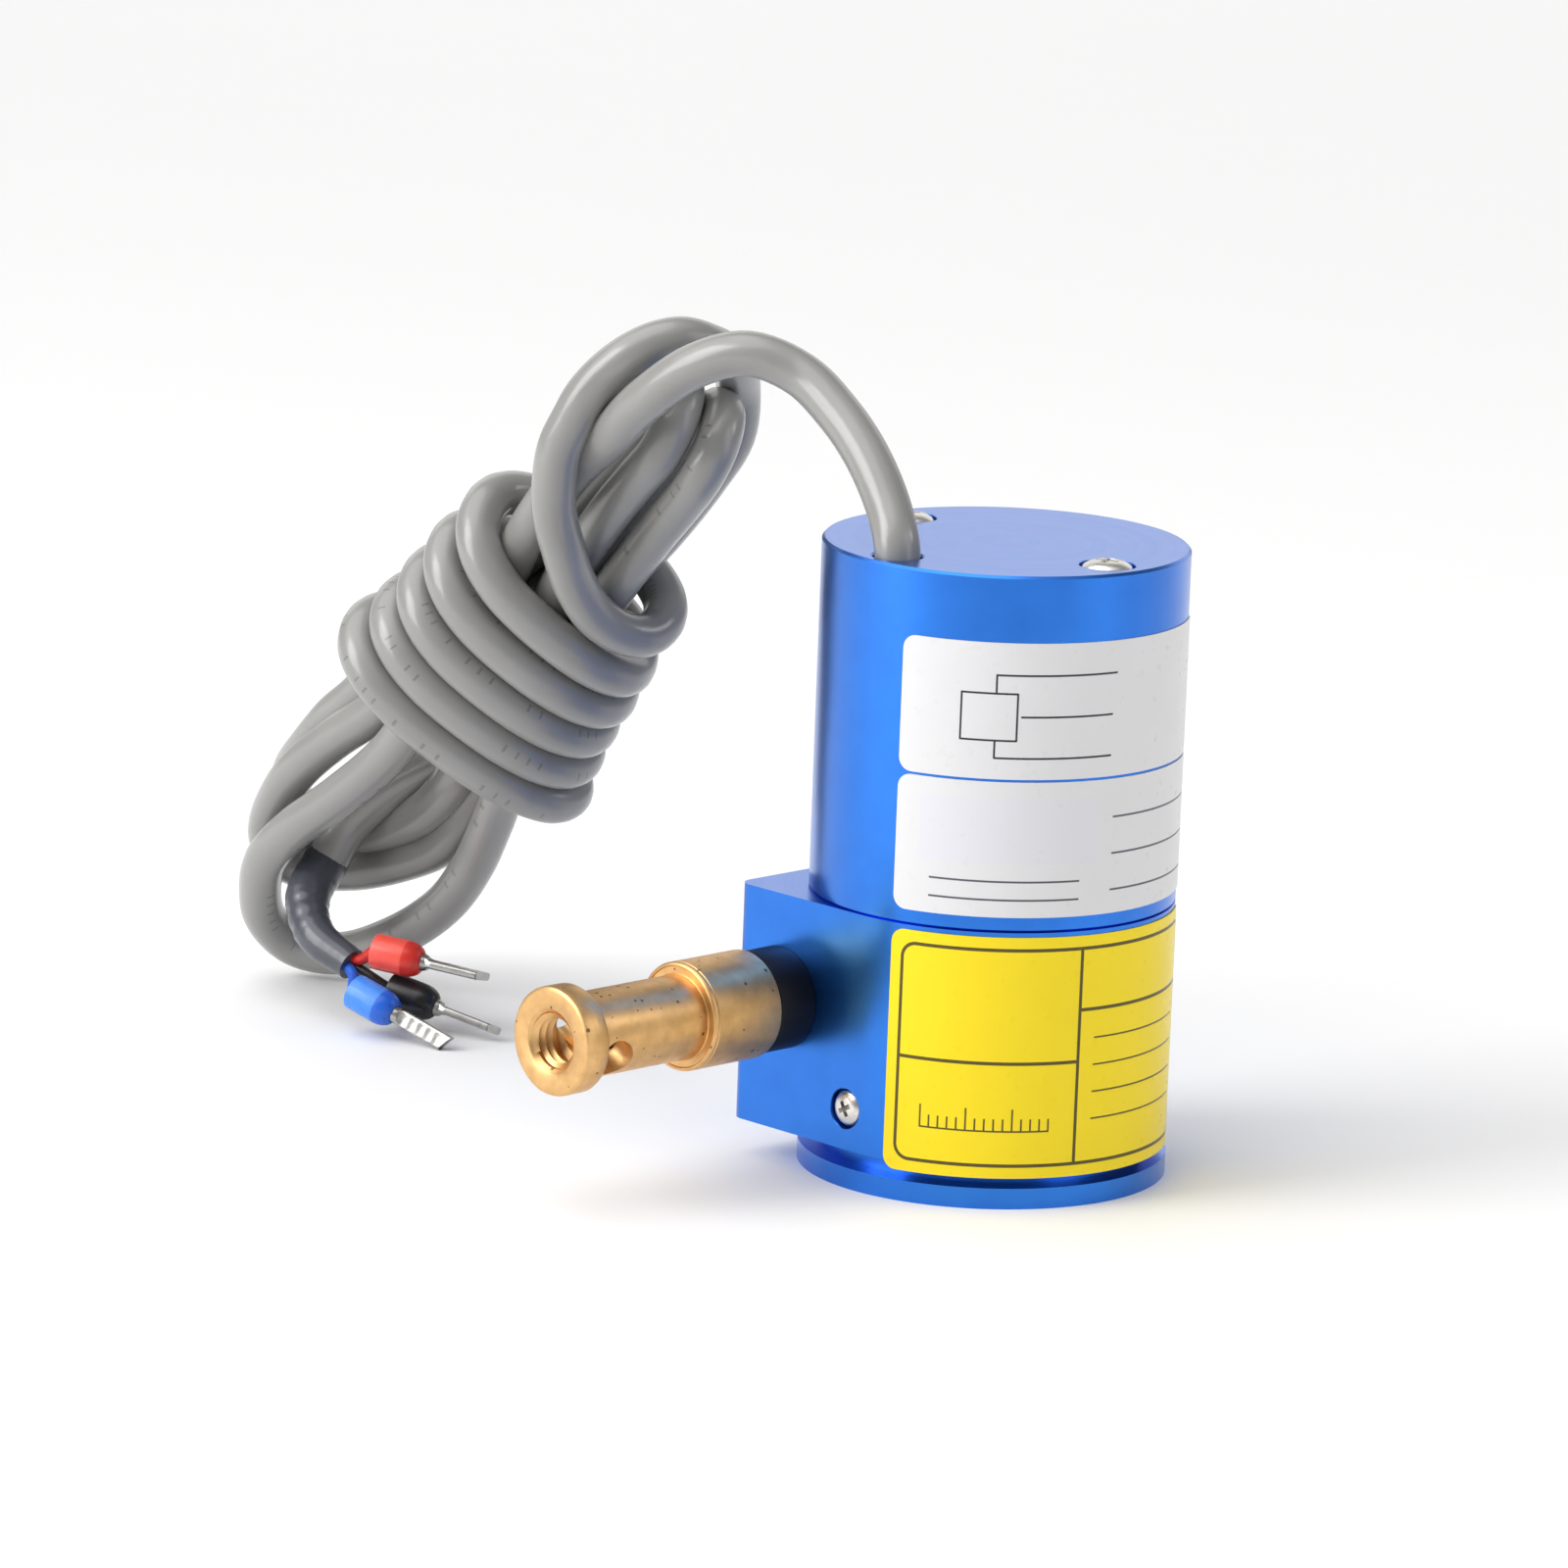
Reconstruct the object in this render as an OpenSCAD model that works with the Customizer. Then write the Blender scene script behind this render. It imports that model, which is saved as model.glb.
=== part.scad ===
// Draw wire encoder: a spring-loaded wire drum turns a ten-turn potentiometer.
// Millimetres. The origin is the centre of the mounting face, +Z runs up the
// drum axis and the wire leaves along -Y.

/* [Housings] */
// Diameter of both housings
body_d = 40; // [39:0.5:44]
// Height of the drum housing
drum_housing_h = 26.3; // [25.5:0.1:30]
// Free height in the sensor housing above the potentiometer
pot_room = 2.4; // [2.1:0.1:13.6]
// Thickness of the sensor housing's side wall
cup_wall = 1.2; // [0.8:0.05:1.25]
// Thickness of the sensor housing's top
cup_top = 2.5; // [2:0.1:3.5]
// How far the flat side of the outlet corner lies inside the round side
corner_in = 0.8; // [0:0.1:1.6]
// Radius of the outlet corner's upright edge
corner_r = 1.8; // [0.5:0.1:2.2]
// Wall of the drum housing round the wire drum
drum_wall = 3; // [2.6:0.1:3.4]
// Thickness of the web between the drum and the sensor
web_t = 4.6; // [4.5:0.1:5.2]
// Height of the ring that centres the sensor housing
rim_h = 1.5; // [1:0.1:2.5]
// Chamfer on the edges where the housings meet and at the top
edge_chamfer = 0.3; // [0.1:0.05:0.5]

/* [Base] */
// How far the base flange stands out past the round side
flange_lip = 0.2; // [-1:0.1:2]
// Thickness of the base flange
flange_h = 2.3; // [2:0.1:4]
// Depth of the clamp groove, from the round side
groove_depth = 2; // [1:0.1:2.6]
// Height of the clamp groove
groove_h = 1.9; // [1.5:0.1:3]
// Thickness of the base under the power spring
base_floor = 6.2; // [6:0.1:6.4]
// Height of the spring cup's top edge
cup_edge_z = 14; // [13.8:0.1:14.2]
// Wall thickness of the spring cup
spring_cup_wall = 1.6; // [1.2:0.1:2]
// Pitch circle of the mounting holes
mount_pcd = 26; // [22:0.5:28]
// Number of mounting holes
mount_count = 3; // [2:1:6]
// Tapping diameter of the mounting holes
mount_hole_d = 2.5; // [2:0.1:3.3]
// Depth of the mounting holes
mount_hole_depth = 5; // [3:0.5:5.5]

/* [Wire and drum] */
// Diameter of the draw wire
wire_d = 0.5; // [0.4:0.05:0.6]
// Diameter of the circle that the wound wire's centre follows
wind_d = 24.1; // [23.5:0.1:25]
// Turns of wire on the full drum
wire_turns = 9.75; // [8:0.25:10]
// Height taken by one turn of wire
wire_pitch = 0.66; // [0.6:0.01:0.68]
// Height of the wire outlet above the mounting face
outlet_z = 19; // [18.5:0.1:19.5]
// Width of the drum between its flanges
drum_w = 7.1; // [7:0.1:7.3]
// Thickness of each drum flange
drum_flange_t = 0.8; // [0.6:0.05:0.9]
// How far the drum flanges stand above the wire
drum_flange_lip = 1.2; // [0.8:0.1:1.6]
// Thickness of the drum's rim
drum_rim_t = 1.8; // [1.2:0.1:3]
// Thickness of the drum's web
drum_web_t = 2; // [1.5:0.1:4]
// Diameter of the drum's hub
drum_hub_d = 9.2; // [8.5:0.1:10]

/* [Shaft and bearings] */
// Diameter of the drum shaft
shaft_d = 5; // [4.6:0.1:5.2]
// Outer diameter of the ball bearings
bearing_d = 11; // [10.6:0.1:11.4]
// Width of the ball bearings
bearing_w = 4; // [3.6:0.1:4]
// Diameter of the bearing balls
ball_d = 2; // [1.6:0.1:2]
// Number of balls in a bearing
ball_count = 8; // [6:1:9]
// Diameter of the shaft coupling
coupling_d = 9.5; // [8.5:0.1:11]
// Length of the shaft coupling
coupling_l = 6.2; // [5.8:0.1:6.4]

/* [Power spring] */
// Width of the spring strip
spring_w = 6; // [5:0.1:6.4]
// Thickness of the spring strip
spring_t = 0.25; // [0.15:0.01:0.35]
// Radial distance from one coil of the spring to the next
spring_pitch = 1; // [0.8:0.05:1.2]
// Diameter of the spring arbor
arbor_d = 7.2; // [6.8:0.1:7.6]
// Thickness of the cover over the spring
spring_cover_t = 0.8; // [0.6:0.1:1]

/* [Sensor] */
// Diameter of the potentiometer's body
pot_d = 22.2; // [20:0.1:23]
// Length of the potentiometer's body
pot_l = 19; // [16:0.5:19]
// Diameter of the potentiometer's bushing
bush_d = 9.5; // [8:0.1:10]
// Length of the potentiometer's bushing
bush_l = 7.9; // [7:0.1:8.5]
// Diameter of the potentiometer's shaft
pot_shaft_d = 6; // [5:0.1:6.35]
// Thickness of the sensor plate
plate_t = 2; // [1.5:0.1:2.5]
// Width of the sensor plate across its flats
plate_w = 24; // [20:0.5:26]
// Diameter of the pillars
pillar_d = 5; // [4.4:0.1:5]
// Distance of the pillars' axes from the sensor housing's inner wall
pillar_in = 3.1; // [3:0.1:3.3]

/* [Outlet nozzle] */
// Diameter of the nozzle
nozzle_d = 11.3; // [10:0.1:12]
// How far the nozzle stands out of the housing
nozzle_l = 5.1; // [3:0.1:8]
// Diameter of the nozzle's thread
nozzle_thread_d = 8; // [6:0.1:9]
// Length of the nozzle's thread
nozzle_thread_l = 5; // [4:0.1:6]
// Diameter of the hole in the wire guide
guide_hole_d = 1.2; // [0.9:0.1:1.6]

/* [End fitting] */
// Diameter of the end fitting's body
fitting_d = 11.94; // [11:0.02:13]
// Length of the end fitting's body
fitting_body_l = 9.8; // [8:0.1:12]
// Diameter of the end fitting's neck
neck_d = 9.3; // [8.5:0.1:10]
// Length of the whole end fitting
fitting_l = 28.6; // [26.5:0.1:34]
// Diameter of the end fitting's flange
end_flange_d = 11.86; // [11:0.02:13]
// Thickness of the end fitting's flange
end_flange_t = 3.2; // [2:0.1:4]
// Diameter of the end fitting's threaded hole
thread_hole_d = 5; // [4.6:0.1:5.4]
// Depth of the end fitting's threaded hole
thread_hole_l = 3.6; // [3.5:0.1:3.8]
// Diameter of the bore behind the thread, which holds the crimp
crimp_bore_d = 4.2; // [3.8:0.1:4.2]
// Depth of the bore that holds the crimp, from the end
crimp_bore_l = 9.8; // [9:0.1:11]
// Diameter of the cross hole in the neck
cross_hole_d = 4.4; // [3:0.1:4.6]
// Distance of the cross hole from the fitting's outer face
cross_hole_at = 5.6; // [5.6:0.1:6.4]
// Turn of the cross hole about the wire, from straight down
cross_hole_turn = 63; // [0:1:180]

/* [Screws] */
// Thread diameter of the top screws
cap_screw_d = 3; // [2.5:0.1:3]
// Head diameter of the top screws
cap_head_d = 5.9; // [5:0.1:6]
// Thread diameter of the housing screws
side_screw_d = 2.5; // [2:0.1:3]
// Head diameter of the housing screws
side_head_d = 4.3; // [4:0.1:4.6]
// Height of the housing screws above the mounting face
side_screw_z = 8.7; // [8:0.1:10.5]
// Sideways offset of the housing screws
side_screw_x = 1.4; // [0:0.1:3]

/* [Cable] */
// Diameter of the cable
cable_d = 5; // [4.6:0.1:5.1]
// Distance of the cable's hole from the sensor housing's inner wall
cable_hole_in = 2.8; // [2.8:0.1:3]
// Diameter of the hole for the cable
cable_hole_d = 5.5; // [5.3:0.05:5.5]
// Diameter of a conductor with its insulation
wire_core_d = 1.3; // [1:0.1:1.6]
// Diameter of the ferrule collars
collar_d = 4.2; // [3.6:0.1:4.4]
// Length of the ferrule collars
collar_l = 6; // [5:0.1:7]
// Length of the ferrule pins
pin_l = 7; // [6:0.1:8]

/* [Labels] */
// Thickness of the labels
label_t = 0.12; // [0.05:0.01:0.3]
// Angle at which the labels begin
label_start = -77.5; // [-85:0.5:-60]
// Angle at which the labels end
label_end = 45; // [30:0.5:90]
// Radius of the labels' corners
label_r = 1.5; // [0.5:0.1:3]
// Height of each upper label
upper_label_h = 14.8; // [10:0.1:16]
// Height of the lower label
lower_label_h = 26.6; // [20:0.1:26.6]

/* [Hidden] */

$fn = 96;

fit_gap = 0.01;        // pressed and screwed fits
slip_gap = 0.1;        // parts that slide together by hand
run_gap = 0.3;         // parts that move past each other
cut = 1;               // how far a cutter passes the face it cuts

body_r = body_d / 2;
flange_r = body_r + flange_lip;
groove_r = body_r - groove_depth;
corner_x = body_r - corner_in;
drum_bore_r = body_r - drum_wall;
z_body = flange_h + groove_h;
z_seam = z_body + drum_housing_h;
cup_bore_r = body_r - cup_wall;
pillar_r = cup_bore_r - pillar_in;
cable_hole_r = cup_bore_r - cable_hole_in;
rim_wall = 1.3;
pillar_turn = -2.4;    // the pillars' and top screws' turn about the axis

shaft_r = shaft_d / 2;
bearing_r = bearing_d / 2;
z_low_bearing = base_floor - bearing_w;
z_web = z_seam - web_t;
z_high_bearing = z_web;
relief_h = 0.4;
ring_mean_r = (shaft_r + bearing_r) / 2;
ring_share = 0.27;      // of the space between shaft and housing, for each ring
ring_wall = (bearing_r - shaft_r) * ring_share;
race_relief = 0.4;
shaft_lift = 0.2;
shaft_rise = 3.3;
shaft_bottom = z_low_bearing + shaft_lift;
shaft_top = z_seam + shaft_rise;
clip_t = 0.5;
clip_depth = 0.4;
clip_play = 0.05;
clip_z = z_high_bearing + bearing_w + clip_play;
web_hole_r = ring_mean_r + race_relief;

wind_r = wind_d / 2;
turn_gap = 0.05;        // between the wire and the drum's core
core_r = wind_r - wire_d / 2 - turn_gap;
z_drum = outlet_z - drum_w / 2 - drum_flange_t;
z_drum_top = z_drum + drum_w + 2 * drum_flange_t;
drum_flange_r = wind_r + wire_d / 2 + drum_flange_lip;
hub_rise = 2.3;        // the hub's end above the drum
z_hub_top = z_high_bearing - slip_gap;
set_screw_d = 2.5;
set_screw_drop = 0.15;
set_screw_z = (z_drum_top + z_hub_top) / 2 - set_screw_drop;
z_last_turn = z_drum + drum_flange_t + drum_w - wire_d / 2 - 3 * turn_gap;

spring_cup_gap = 0.03;
spring_cup_r = drum_bore_r - spring_cup_gap;
spring_room_r = spring_cup_r - spring_cup_wall;
cover_seat = 0.8;
spring_lift = 0.4;
z_spring = base_floor + spring_lift;
z_cover = cup_edge_z - spring_cover_t;
arbor_r = arbor_d / 2;
arbor_gap = 0.15;
spring_r = arbor_r + spring_t / 2 + arbor_gap;
spring_coils = floor((spring_room_r - spring_r - spring_t) / spring_pitch);

coupling_lift = 0.5;
z_coupling = z_seam + coupling_lift;
z_bush = z_coupling + coupling_l + run_gap;
z_pot = z_bush + bush_l;
z_plate = z_pot - plate_t;
z_cup_ceiling = z_pot + pot_l + pot_room;
z_top = z_cup_ceiling + cup_top;
pot_r = pot_d / 2;
pot_shaft_r = pot_shaft_d / 2;
shaft_ends_gap = 0.4;
pot_shaft_bottom = shaft_top + shaft_ends_gap;
nut_t = 2.4;
nut_af = 14;
washer_t = 0.5;
washer_r = 7.5;
pin_r = cap_screw_d / 2;
stud_l = 4;
screw_inset = 1.4;
coupling_screw_z = [z_coupling + screw_inset, z_coupling + coupling_l - screw_inset];
coupling_screw_r = 1;
pot_key_r = 0.8;
pot_key_in = 2.6;
pot_key_at = pot_r - pot_key_in;
terminal_angles = [-36, -49, -62];
terminal_down = 4;
terminal_z = z_pot + pot_l - terminal_down;
terminal_l = 3;
terminal_w = 1.6;
eye_in = 0.9;          // from a terminal's tip to the middle of its eye

outlet_x = -wind_r;
face_y = -body_r;
fitting_gap = 0.15;
fitting_y = face_y - nozzle_l - fitting_gap;
guide_r = 1.6;
guide_l = 6;
guide_lip = 0.3;
wire_hole_d = 2;
crimp_d = 3;
crimp_l = 3.8;
crimp_y = fitting_y - (fitting_l - crimp_bore_l) - slip_gap;
wire_start = 0.2;       // gap between the wound wire and the wire that leaves it
level_run = 5;          // how far the wire runs level, clear of the turn below
bead_r = 0.5;
thread_entry = 1;

cap_head_h = 1.5;
side_head_h = 1.4;
head_gap = 0.25;
side_screw_l = 4.2;
cap_screw_l = 7;

// Labels: the two upper ones stand one above the other, the lower one below the seam
label_gap = 0.02;
label_spacing = 0.3;
label_above_seam = 1.7;
label_below_seam = 0.5;
middle_label_z = z_seam + label_above_seam;
top_label_z = middle_label_z + upper_label_h + label_spacing;
lower_label_z = z_seam - label_below_seam - lower_label_h;

cable_r = cable_d / 2;
hole_at = [-0.7, -cable_hole_r, 0];
cable_exit = [hole_at[0], hole_at[1], z_top];
cable_inner = [
    cable_exit, cable_exit + [0, 0, -1.2], cable_exit + [0, 0, -2.4],
    cable_exit + [0, 0.45, -4.2], cable_exit + [0.05, 0.9, -6.6]
];
tie_at = cable_exit + [0.02, 0.62, -5];
tie_w = 1.6;
tie_t = 0.6;

// Where the cable runs, from the housing to the bundle
lead_route = [
    [-0.7, -16, 69.3], [-1.2, -15.8, 71], [-4, -14.6, 74.4], [-8.5, -13.6, 78.9],
    [-13.5, -13.2, 82.7], [-18.8, -13.7, 86], [-23.8, -16.6, 87.8], [-29.4, -19, 86],
    [-35.5, -20.4, 81.6], [-41, -20.2, 77], [-46.1, -18.7, 70.6], [-51.5, -17.4, 65.4],
    [-58.6, -15.8, 59.3]
];
// Where the cable leaves the bundle, and the sleeve at its end
tail_route = [
    [-77.5, -1.5, 36], [-86, -3, 31], [-93, -5, 26.5], [-97, -7.2, 21.5], [-98.6, -9.7, 16]
];
sleeve_r = 2.3;
sleeve_route = [[-98.6, -9.7, 16], [-97.4, -13.2, 12.8], [-93, -15.8, 9.4], [-87, -15.4, 7]];
// The bundle: a flat hank of doubled cable with turns wound about its middle. Each lobe
// has the middle of its round end and its two faces, in the hank's own axes.
hank_at = [-68.5, -10, 45];
hank_turn = [126, -50, -2];
lobe_r = 11.5;
lower_lobe = [[-44, 3], [-9, 1]];
upper_lobe = [[44, 1.5], [-8, 6]];
band_low = -13.8;
band_high = 16;
band_r = 9.5;
band_half = 16.5;
// Ferrules: where each collar begins and the point that its pin aims at
red_at = [[-84, -14.6, 9.1], [-72.3, -9, 7.7]];
black_at = [[-82.7, -13.2, 4.6], [-70.8, -7.9, 1.5]];
blue_at = [[-83.4, -18.2, 5], [-71.5, -15.1, 1]];
ferrules = [red_at, black_at, blue_at];
pin_barrel_r = 1;

anodised = [0.13, 0.44, 0.85];
brass = [0.78, 0.62, 0.4];
nickel = [0.78, 0.78, 0.8];
steel = [0.62, 0.64, 0.67];
jacket = [0.55, 0.55, 0.55];
paper = [0.93, 0.93, 0.95];

// Straight solids along -Y, from the point where they begin
module along_wire(y) {
    translate([outlet_x, y, outlet_z]) rotate([90, 0, 0]) children();
}

// A round bar or hole along +Z
module rod(r, z0, z1) {
    translate([0, 0, z0]) cylinder(r = r, h = z1 - z0);
}

// A ring about the Z axis with square edges
module ring(r_in, r_out, z0, z1) {
    rotate_extrude() translate([r_in, z0]) square([r_out - r_in, z1 - z0]);
}

// Puts its children on both pillars' axes
module at_pillars() {
    for (side = [0, 180])
        rotate([0, 0, pillar_turn + side]) translate([pillar_r, 0, 0]) children();
}

// Puts its children, drawn along -Z, on both housing screws' axes, head outwards
module at_side_screws() {
    for (side = [0, 180])
        rotate([0, 0, side]) translate([-side_screw_x, face_y, side_screw_z])
            rotate([90, 0, 0]) children();
}

// A screw with its head's top at z = 0 and its point downwards
module screw(d, head_d, head_h, length) {
    slot_w = head_d * 0.17;
    slot_l = head_d * 0.6;
    slot_depth = head_h * 0.6;
    top_r = head_d * 0.4;
    round_h = head_h * 0.25;
    difference() {
        union() {
            rotate_extrude() polygon([
                [0, -head_h], [head_d / 2, -head_h], [head_d / 2, -round_h],
                [top_r, 0], [0, 0]
            ]);
            rod(d / 2, -length, -head_h);
        }
        for (a = [0, 90])
            rotate([0, 0, a]) translate([-slot_l / 2, -slot_w / 2, -slot_depth])
                cube([slot_l, slot_w, head_h]);
    }
}

// Unit vector
function unit(v) = v / norm(v);

// Point of a smooth curve between b and c, with a before and d after them
function smooth(a, b, c, d, t) =
    0.5 * (2 * b + (c - a) * t + (2 * a - 5 * b + 4 * c - d) * t * t
    + (3 * b - a - 3 * c + d) * t * t * t);

// The route with more points, on a smooth curve through its own
function refine(p, steps) = [
    for (i = [0 : len(p) - 2], k = [0 : steps - 1])
        smooth(p[max(i - 1, 0)], p[i], p[i + 1], p[min(i + 2, len(p) - 1)], k / steps),
    p[len(p) - 1]
];

// Direction of the route at point i
function heading(p, i) = unit(p[min(i + 1, len(p) - 1)] - p[max(i - 1, 0)]);

// Ring of points about p[i], square to the route; side sets where it begins
function ring_at(p, i, r, sides, side) =
    let (d = heading(p, i), n = unit(side - (side * d) * d), b = cross(d, n))
    [for (k = [0 : sides - 1])
        p[i] + r * (cos(360 * k / sides) * n + sin(360 * k / sides) * b)];

// A round bar swept along a route
module tube(p, r, sides, side) {
    last = len(p) - 1;
    points = [for (i = [0 : last]) each ring_at(p, i, r, sides, side)];
    walls = [
        for (i = [0 : last - 1], k = [0 : sides - 1])
            let (m = (k + 1) % sides)
            each [
                [i * sides + m, i * sides + k, (i + 1) * sides + k],
                [i * sides + m, (i + 1) * sides + k, (i + 1) * sides + m]
            ]
    ];
    caps = [
        [for (k = [0 : sides - 1]) k],
        [for (k = [sides - 1 : -1 : 0]) last * sides + k]
    ];
    polyhedron(points = points, faces = concat(walls, caps), convexity = 8);
}

// Turns +Z to point from a to b, and moves the origin to a
module aim(a, b) {
    d = b - a;
    translate(a) rotate([0, acos(d[2] / norm(d)), atan2(d[1], d[0])]) children();
}

module spring_base() {
    color(anodised) difference() {
        union() {
            rotate_extrude() polygon([
                [0, 0], [flange_r - edge_chamfer, 0], [flange_r, edge_chamfer],
                [flange_r, flange_h - edge_chamfer],
                [flange_r - edge_chamfer, flange_h], [0, flange_h]
            ]);
            rod(groove_r, flange_h, z_body);
            rod(spring_cup_r, z_body, cup_edge_z);
        }
        rod(spring_room_r, base_floor, cup_edge_z + cut);
        rod(spring_room_r + cover_seat, z_cover, cup_edge_z + cut);
        rod(bearing_r, z_low_bearing, base_floor + cut);
        rod(ring_mean_r, z_low_bearing - relief_h, z_low_bearing + cut);
        for (i = [0 : mount_count - 1])
            rotate([0, 0, 90 + 360 * i / mount_count]) translate([mount_pcd / 2, 0, 0])
                rod(mount_hole_d / 2, -cut, mount_hole_depth);
        at_side_screws() rod(side_screw_d / 2 + fit_gap, -side_screw_l - cut, 0);
    }
}

module drum_housing() {
    block_h = z_seam - z_body;
    notch_r = pillar_d / 2 + slip_gap;
    color(anodised) difference() {
        union() {
            rod(body_r, z_body, z_seam);
            translate([corner_r - corner_x, face_y, z_body])
                cube([corner_x - corner_r, body_r, block_h]);
            translate([-corner_x, face_y + corner_r, z_body])
                cube([corner_x, body_r - corner_r, block_h]);
            translate([corner_r - corner_x, face_y + corner_r, 0])
                rod(corner_r, z_body, z_seam);
            ring(cup_bore_r - slip_gap - rim_wall, cup_bore_r - slip_gap, z_seam - cut,
                z_seam + rim_h);
        }
        rod(drum_bore_r, z_body - cut, z_web);
        rod(bearing_r, z_web - cut, z_high_bearing + bearing_w);
        rod(web_hole_r, z_web, z_seam + cut);
        along_wire(face_y + nozzle_thread_l + cut)
            rod(nozzle_thread_d / 2 + fit_gap, -body_r / 2, nozzle_thread_l + 2 * cut);
        at_pillars() {
            rod(pin_r + fit_gap, z_seam - stud_l - slip_gap, z_seam + cut);
            rod(notch_r, z_seam, z_seam + rim_h + cut);
        }
        at_side_screws() {
            rod(side_head_d / 2 + head_gap, -side_head_h, cut);
            rod(side_screw_d / 2 + fit_gap, -side_screw_l - cut, 0);
        }
    }
}

module sensor_housing() {
    color(anodised) difference() {
        rotate_extrude() polygon([
            [cup_bore_r, z_seam], [body_r - edge_chamfer, z_seam],
            [body_r, z_seam + edge_chamfer], [body_r, z_top - edge_chamfer],
            [body_r - edge_chamfer, z_top], [0, z_top], [0, z_cup_ceiling],
            [cup_bore_r, z_cup_ceiling]
        ]);
        translate(hole_at) rod(cable_hole_d / 2, z_cup_ceiling - cut, z_top + cut);
        at_pillars() {
            rod(cap_head_d / 2 + head_gap, z_top - cap_head_h, z_top + cut);
            rod(pin_r + slip_gap, z_cup_ceiling - cut, z_top);
        }
    }
}

module housing_screws() {
    color(nickel) at_side_screws()
        screw(side_screw_d, side_head_d, side_head_h, side_screw_l);
}

module cap_screws() {
    color(nickel) at_pillars() translate([0, 0, z_top])
        screw(cap_screw_d, cap_head_d, cap_head_h, cap_screw_l);
}

module wire_nozzle() {
    end = nozzle_thread_l + nozzle_l;
    r = nozzle_d / 2;
    soft = 0.5;
    color([0.09, 0.09, 0.11]) along_wire(face_y + nozzle_thread_l) rotate_extrude() polygon([
        [guide_r, 0], [nozzle_thread_d / 2, 0], [nozzle_thread_d / 2, nozzle_thread_l],
        [r, nozzle_thread_l], [r, end - soft], [r - soft, end], [guide_r, end]
    ]);
}

module wire_guide() {
    hole = guide_hole_d / 2;
    color([0.92, 0.9, 0.86]) along_wire(face_y - nozzle_l + guide_l) rotate_extrude()
        difference() {
            square([guide_r - fit_gap, guide_l]);
            square([hole, guide_l]);
            translate([hole, 0]) circle(r = guide_lip);
            translate([hole, guide_l]) circle(r = guide_lip);
        }
}

// The wire from the drum to its crimped end: level at first, then down to the guide
module draw_wire() {
    color(steel) tube(
        [[outlet_x, -wire_start, z_last_turn], [outlet_x, -level_run, z_last_turn],
            [outlet_x, face_y - nozzle_l + guide_l, outlet_z],
            [outlet_x, face_y, outlet_z], [outlet_x, crimp_y - crimp_l, outlet_z]],
        wire_d / 2, 8, [1, 0, 0]);
}

// The wire on the full drum: a helix whose last turn runs off towards the outlet
module wound_wire() {
    per_turn = 36;
    n = floor(wire_turns * per_turn);
    color(steel) tube([
        for (i = [0 : n])
            let (a = 180 - (n - i) * 360 / per_turn)
            [wind_r * cos(a), wind_r * sin(a),
                z_last_turn - (n - i) * wire_pitch / per_turn]
    ], wire_d / 2, 6, [0, 0, 1]);
}

module wire_crimp() {
    color(nickel) along_wire(crimp_y) difference() {
        rod(crimp_d / 2, 0, crimp_l);
        rod(wire_d / 2 + slip_gap, -cut, crimp_l + cut);
    }
}

module end_fitting() {
    r = fitting_d / 2;
    neck_r = neck_d / 2;
    lip_r = end_flange_d / 2;
    flange_at = fitting_l - end_flange_t;
    hole_r = thread_hole_d / 2;
    color(brass) along_wire(fitting_y) difference() {
        union() {
            rotate_extrude() polygon([
                [0, 0], [r - edge_chamfer, 0], [r, edge_chamfer],
                [r, fitting_body_l], [neck_r, fitting_body_l],
                [neck_r, flange_at], [lip_r - bead_r, flange_at],
                [lip_r, flange_at + bead_r], [lip_r, fitting_l - bead_r],
                [lip_r - bead_r, fitting_l], [0, fitting_l]
            ]);
            rotate_extrude() translate([r - bead_r, fitting_body_l])
                circle(r = bead_r, $fn = 32);
        }
        rod(wire_hole_d / 2, -cut, fitting_l);
        rod(hole_r, fitting_l - thread_hole_l, fitting_l + cut);
        rod(crimp_bore_d / 2, fitting_l - crimp_bore_l, fitting_l);
        translate([0, 0, fitting_l - thread_entry])
            cylinder(r1 = hole_r, r2 = hole_r + thread_entry, h = thread_entry + fit_gap);
        translate([0, 0, fitting_l - cross_hole_at]) rotate([0, 90, cross_hole_turn - 90])
            rod(cross_hole_d / 2, -fitting_d, fitting_d);
    }
}

module wire_drum() {
    hub_r = drum_hub_d / 2;
    rim_in = core_r - drum_rim_t;
    web_z = z_drum + drum_flange_t + (drum_w - drum_web_t) / 2;
    anchor_r = 0.5;
    spacer_wall = 0.8;
    window_gap = 0.8;
    bore_over = 0.2;
    color([0.82, 0.83, 0.85]) difference() {
        union() {
            ring(shaft_r, hub_r, z_drum, z_drum_top + hub_rise);
            ring(shaft_r, shaft_r + spacer_wall, z_drum, z_hub_top);
            ring(hub_r - cut, rim_in + cut, web_z, web_z + drum_web_t);
            rotate_extrude() polygon([
                [rim_in, z_drum], [drum_flange_r, z_drum],
                [drum_flange_r, z_drum + drum_flange_t], [core_r, z_drum + drum_flange_t],
                [core_r, z_drum_top - drum_flange_t],
                [drum_flange_r, z_drum_top - drum_flange_t],
                [drum_flange_r, z_drum_top], [rim_in, z_drum_top]
            ]);
        }
        translate([0, 0, set_screw_z]) rotate([0, 90, 0])
            rod(set_screw_d / 2, shaft_r - bore_over, hub_r + cut);
        translate([0, 0, z_drum + drum_flange_t + anchor_r]) rotate([0, 90, 90])
            rod(anchor_r, rim_in - cut, core_r + cut);
        for (a = [0 : 60 : 300])
            rotate([0, 0, a + 30]) translate([(hub_r + rim_in) / 2, 0, 0])
                rod((rim_in - hub_r) / 2 - window_gap, web_z - cut, web_z + drum_web_t + cut);
    }
}

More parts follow.
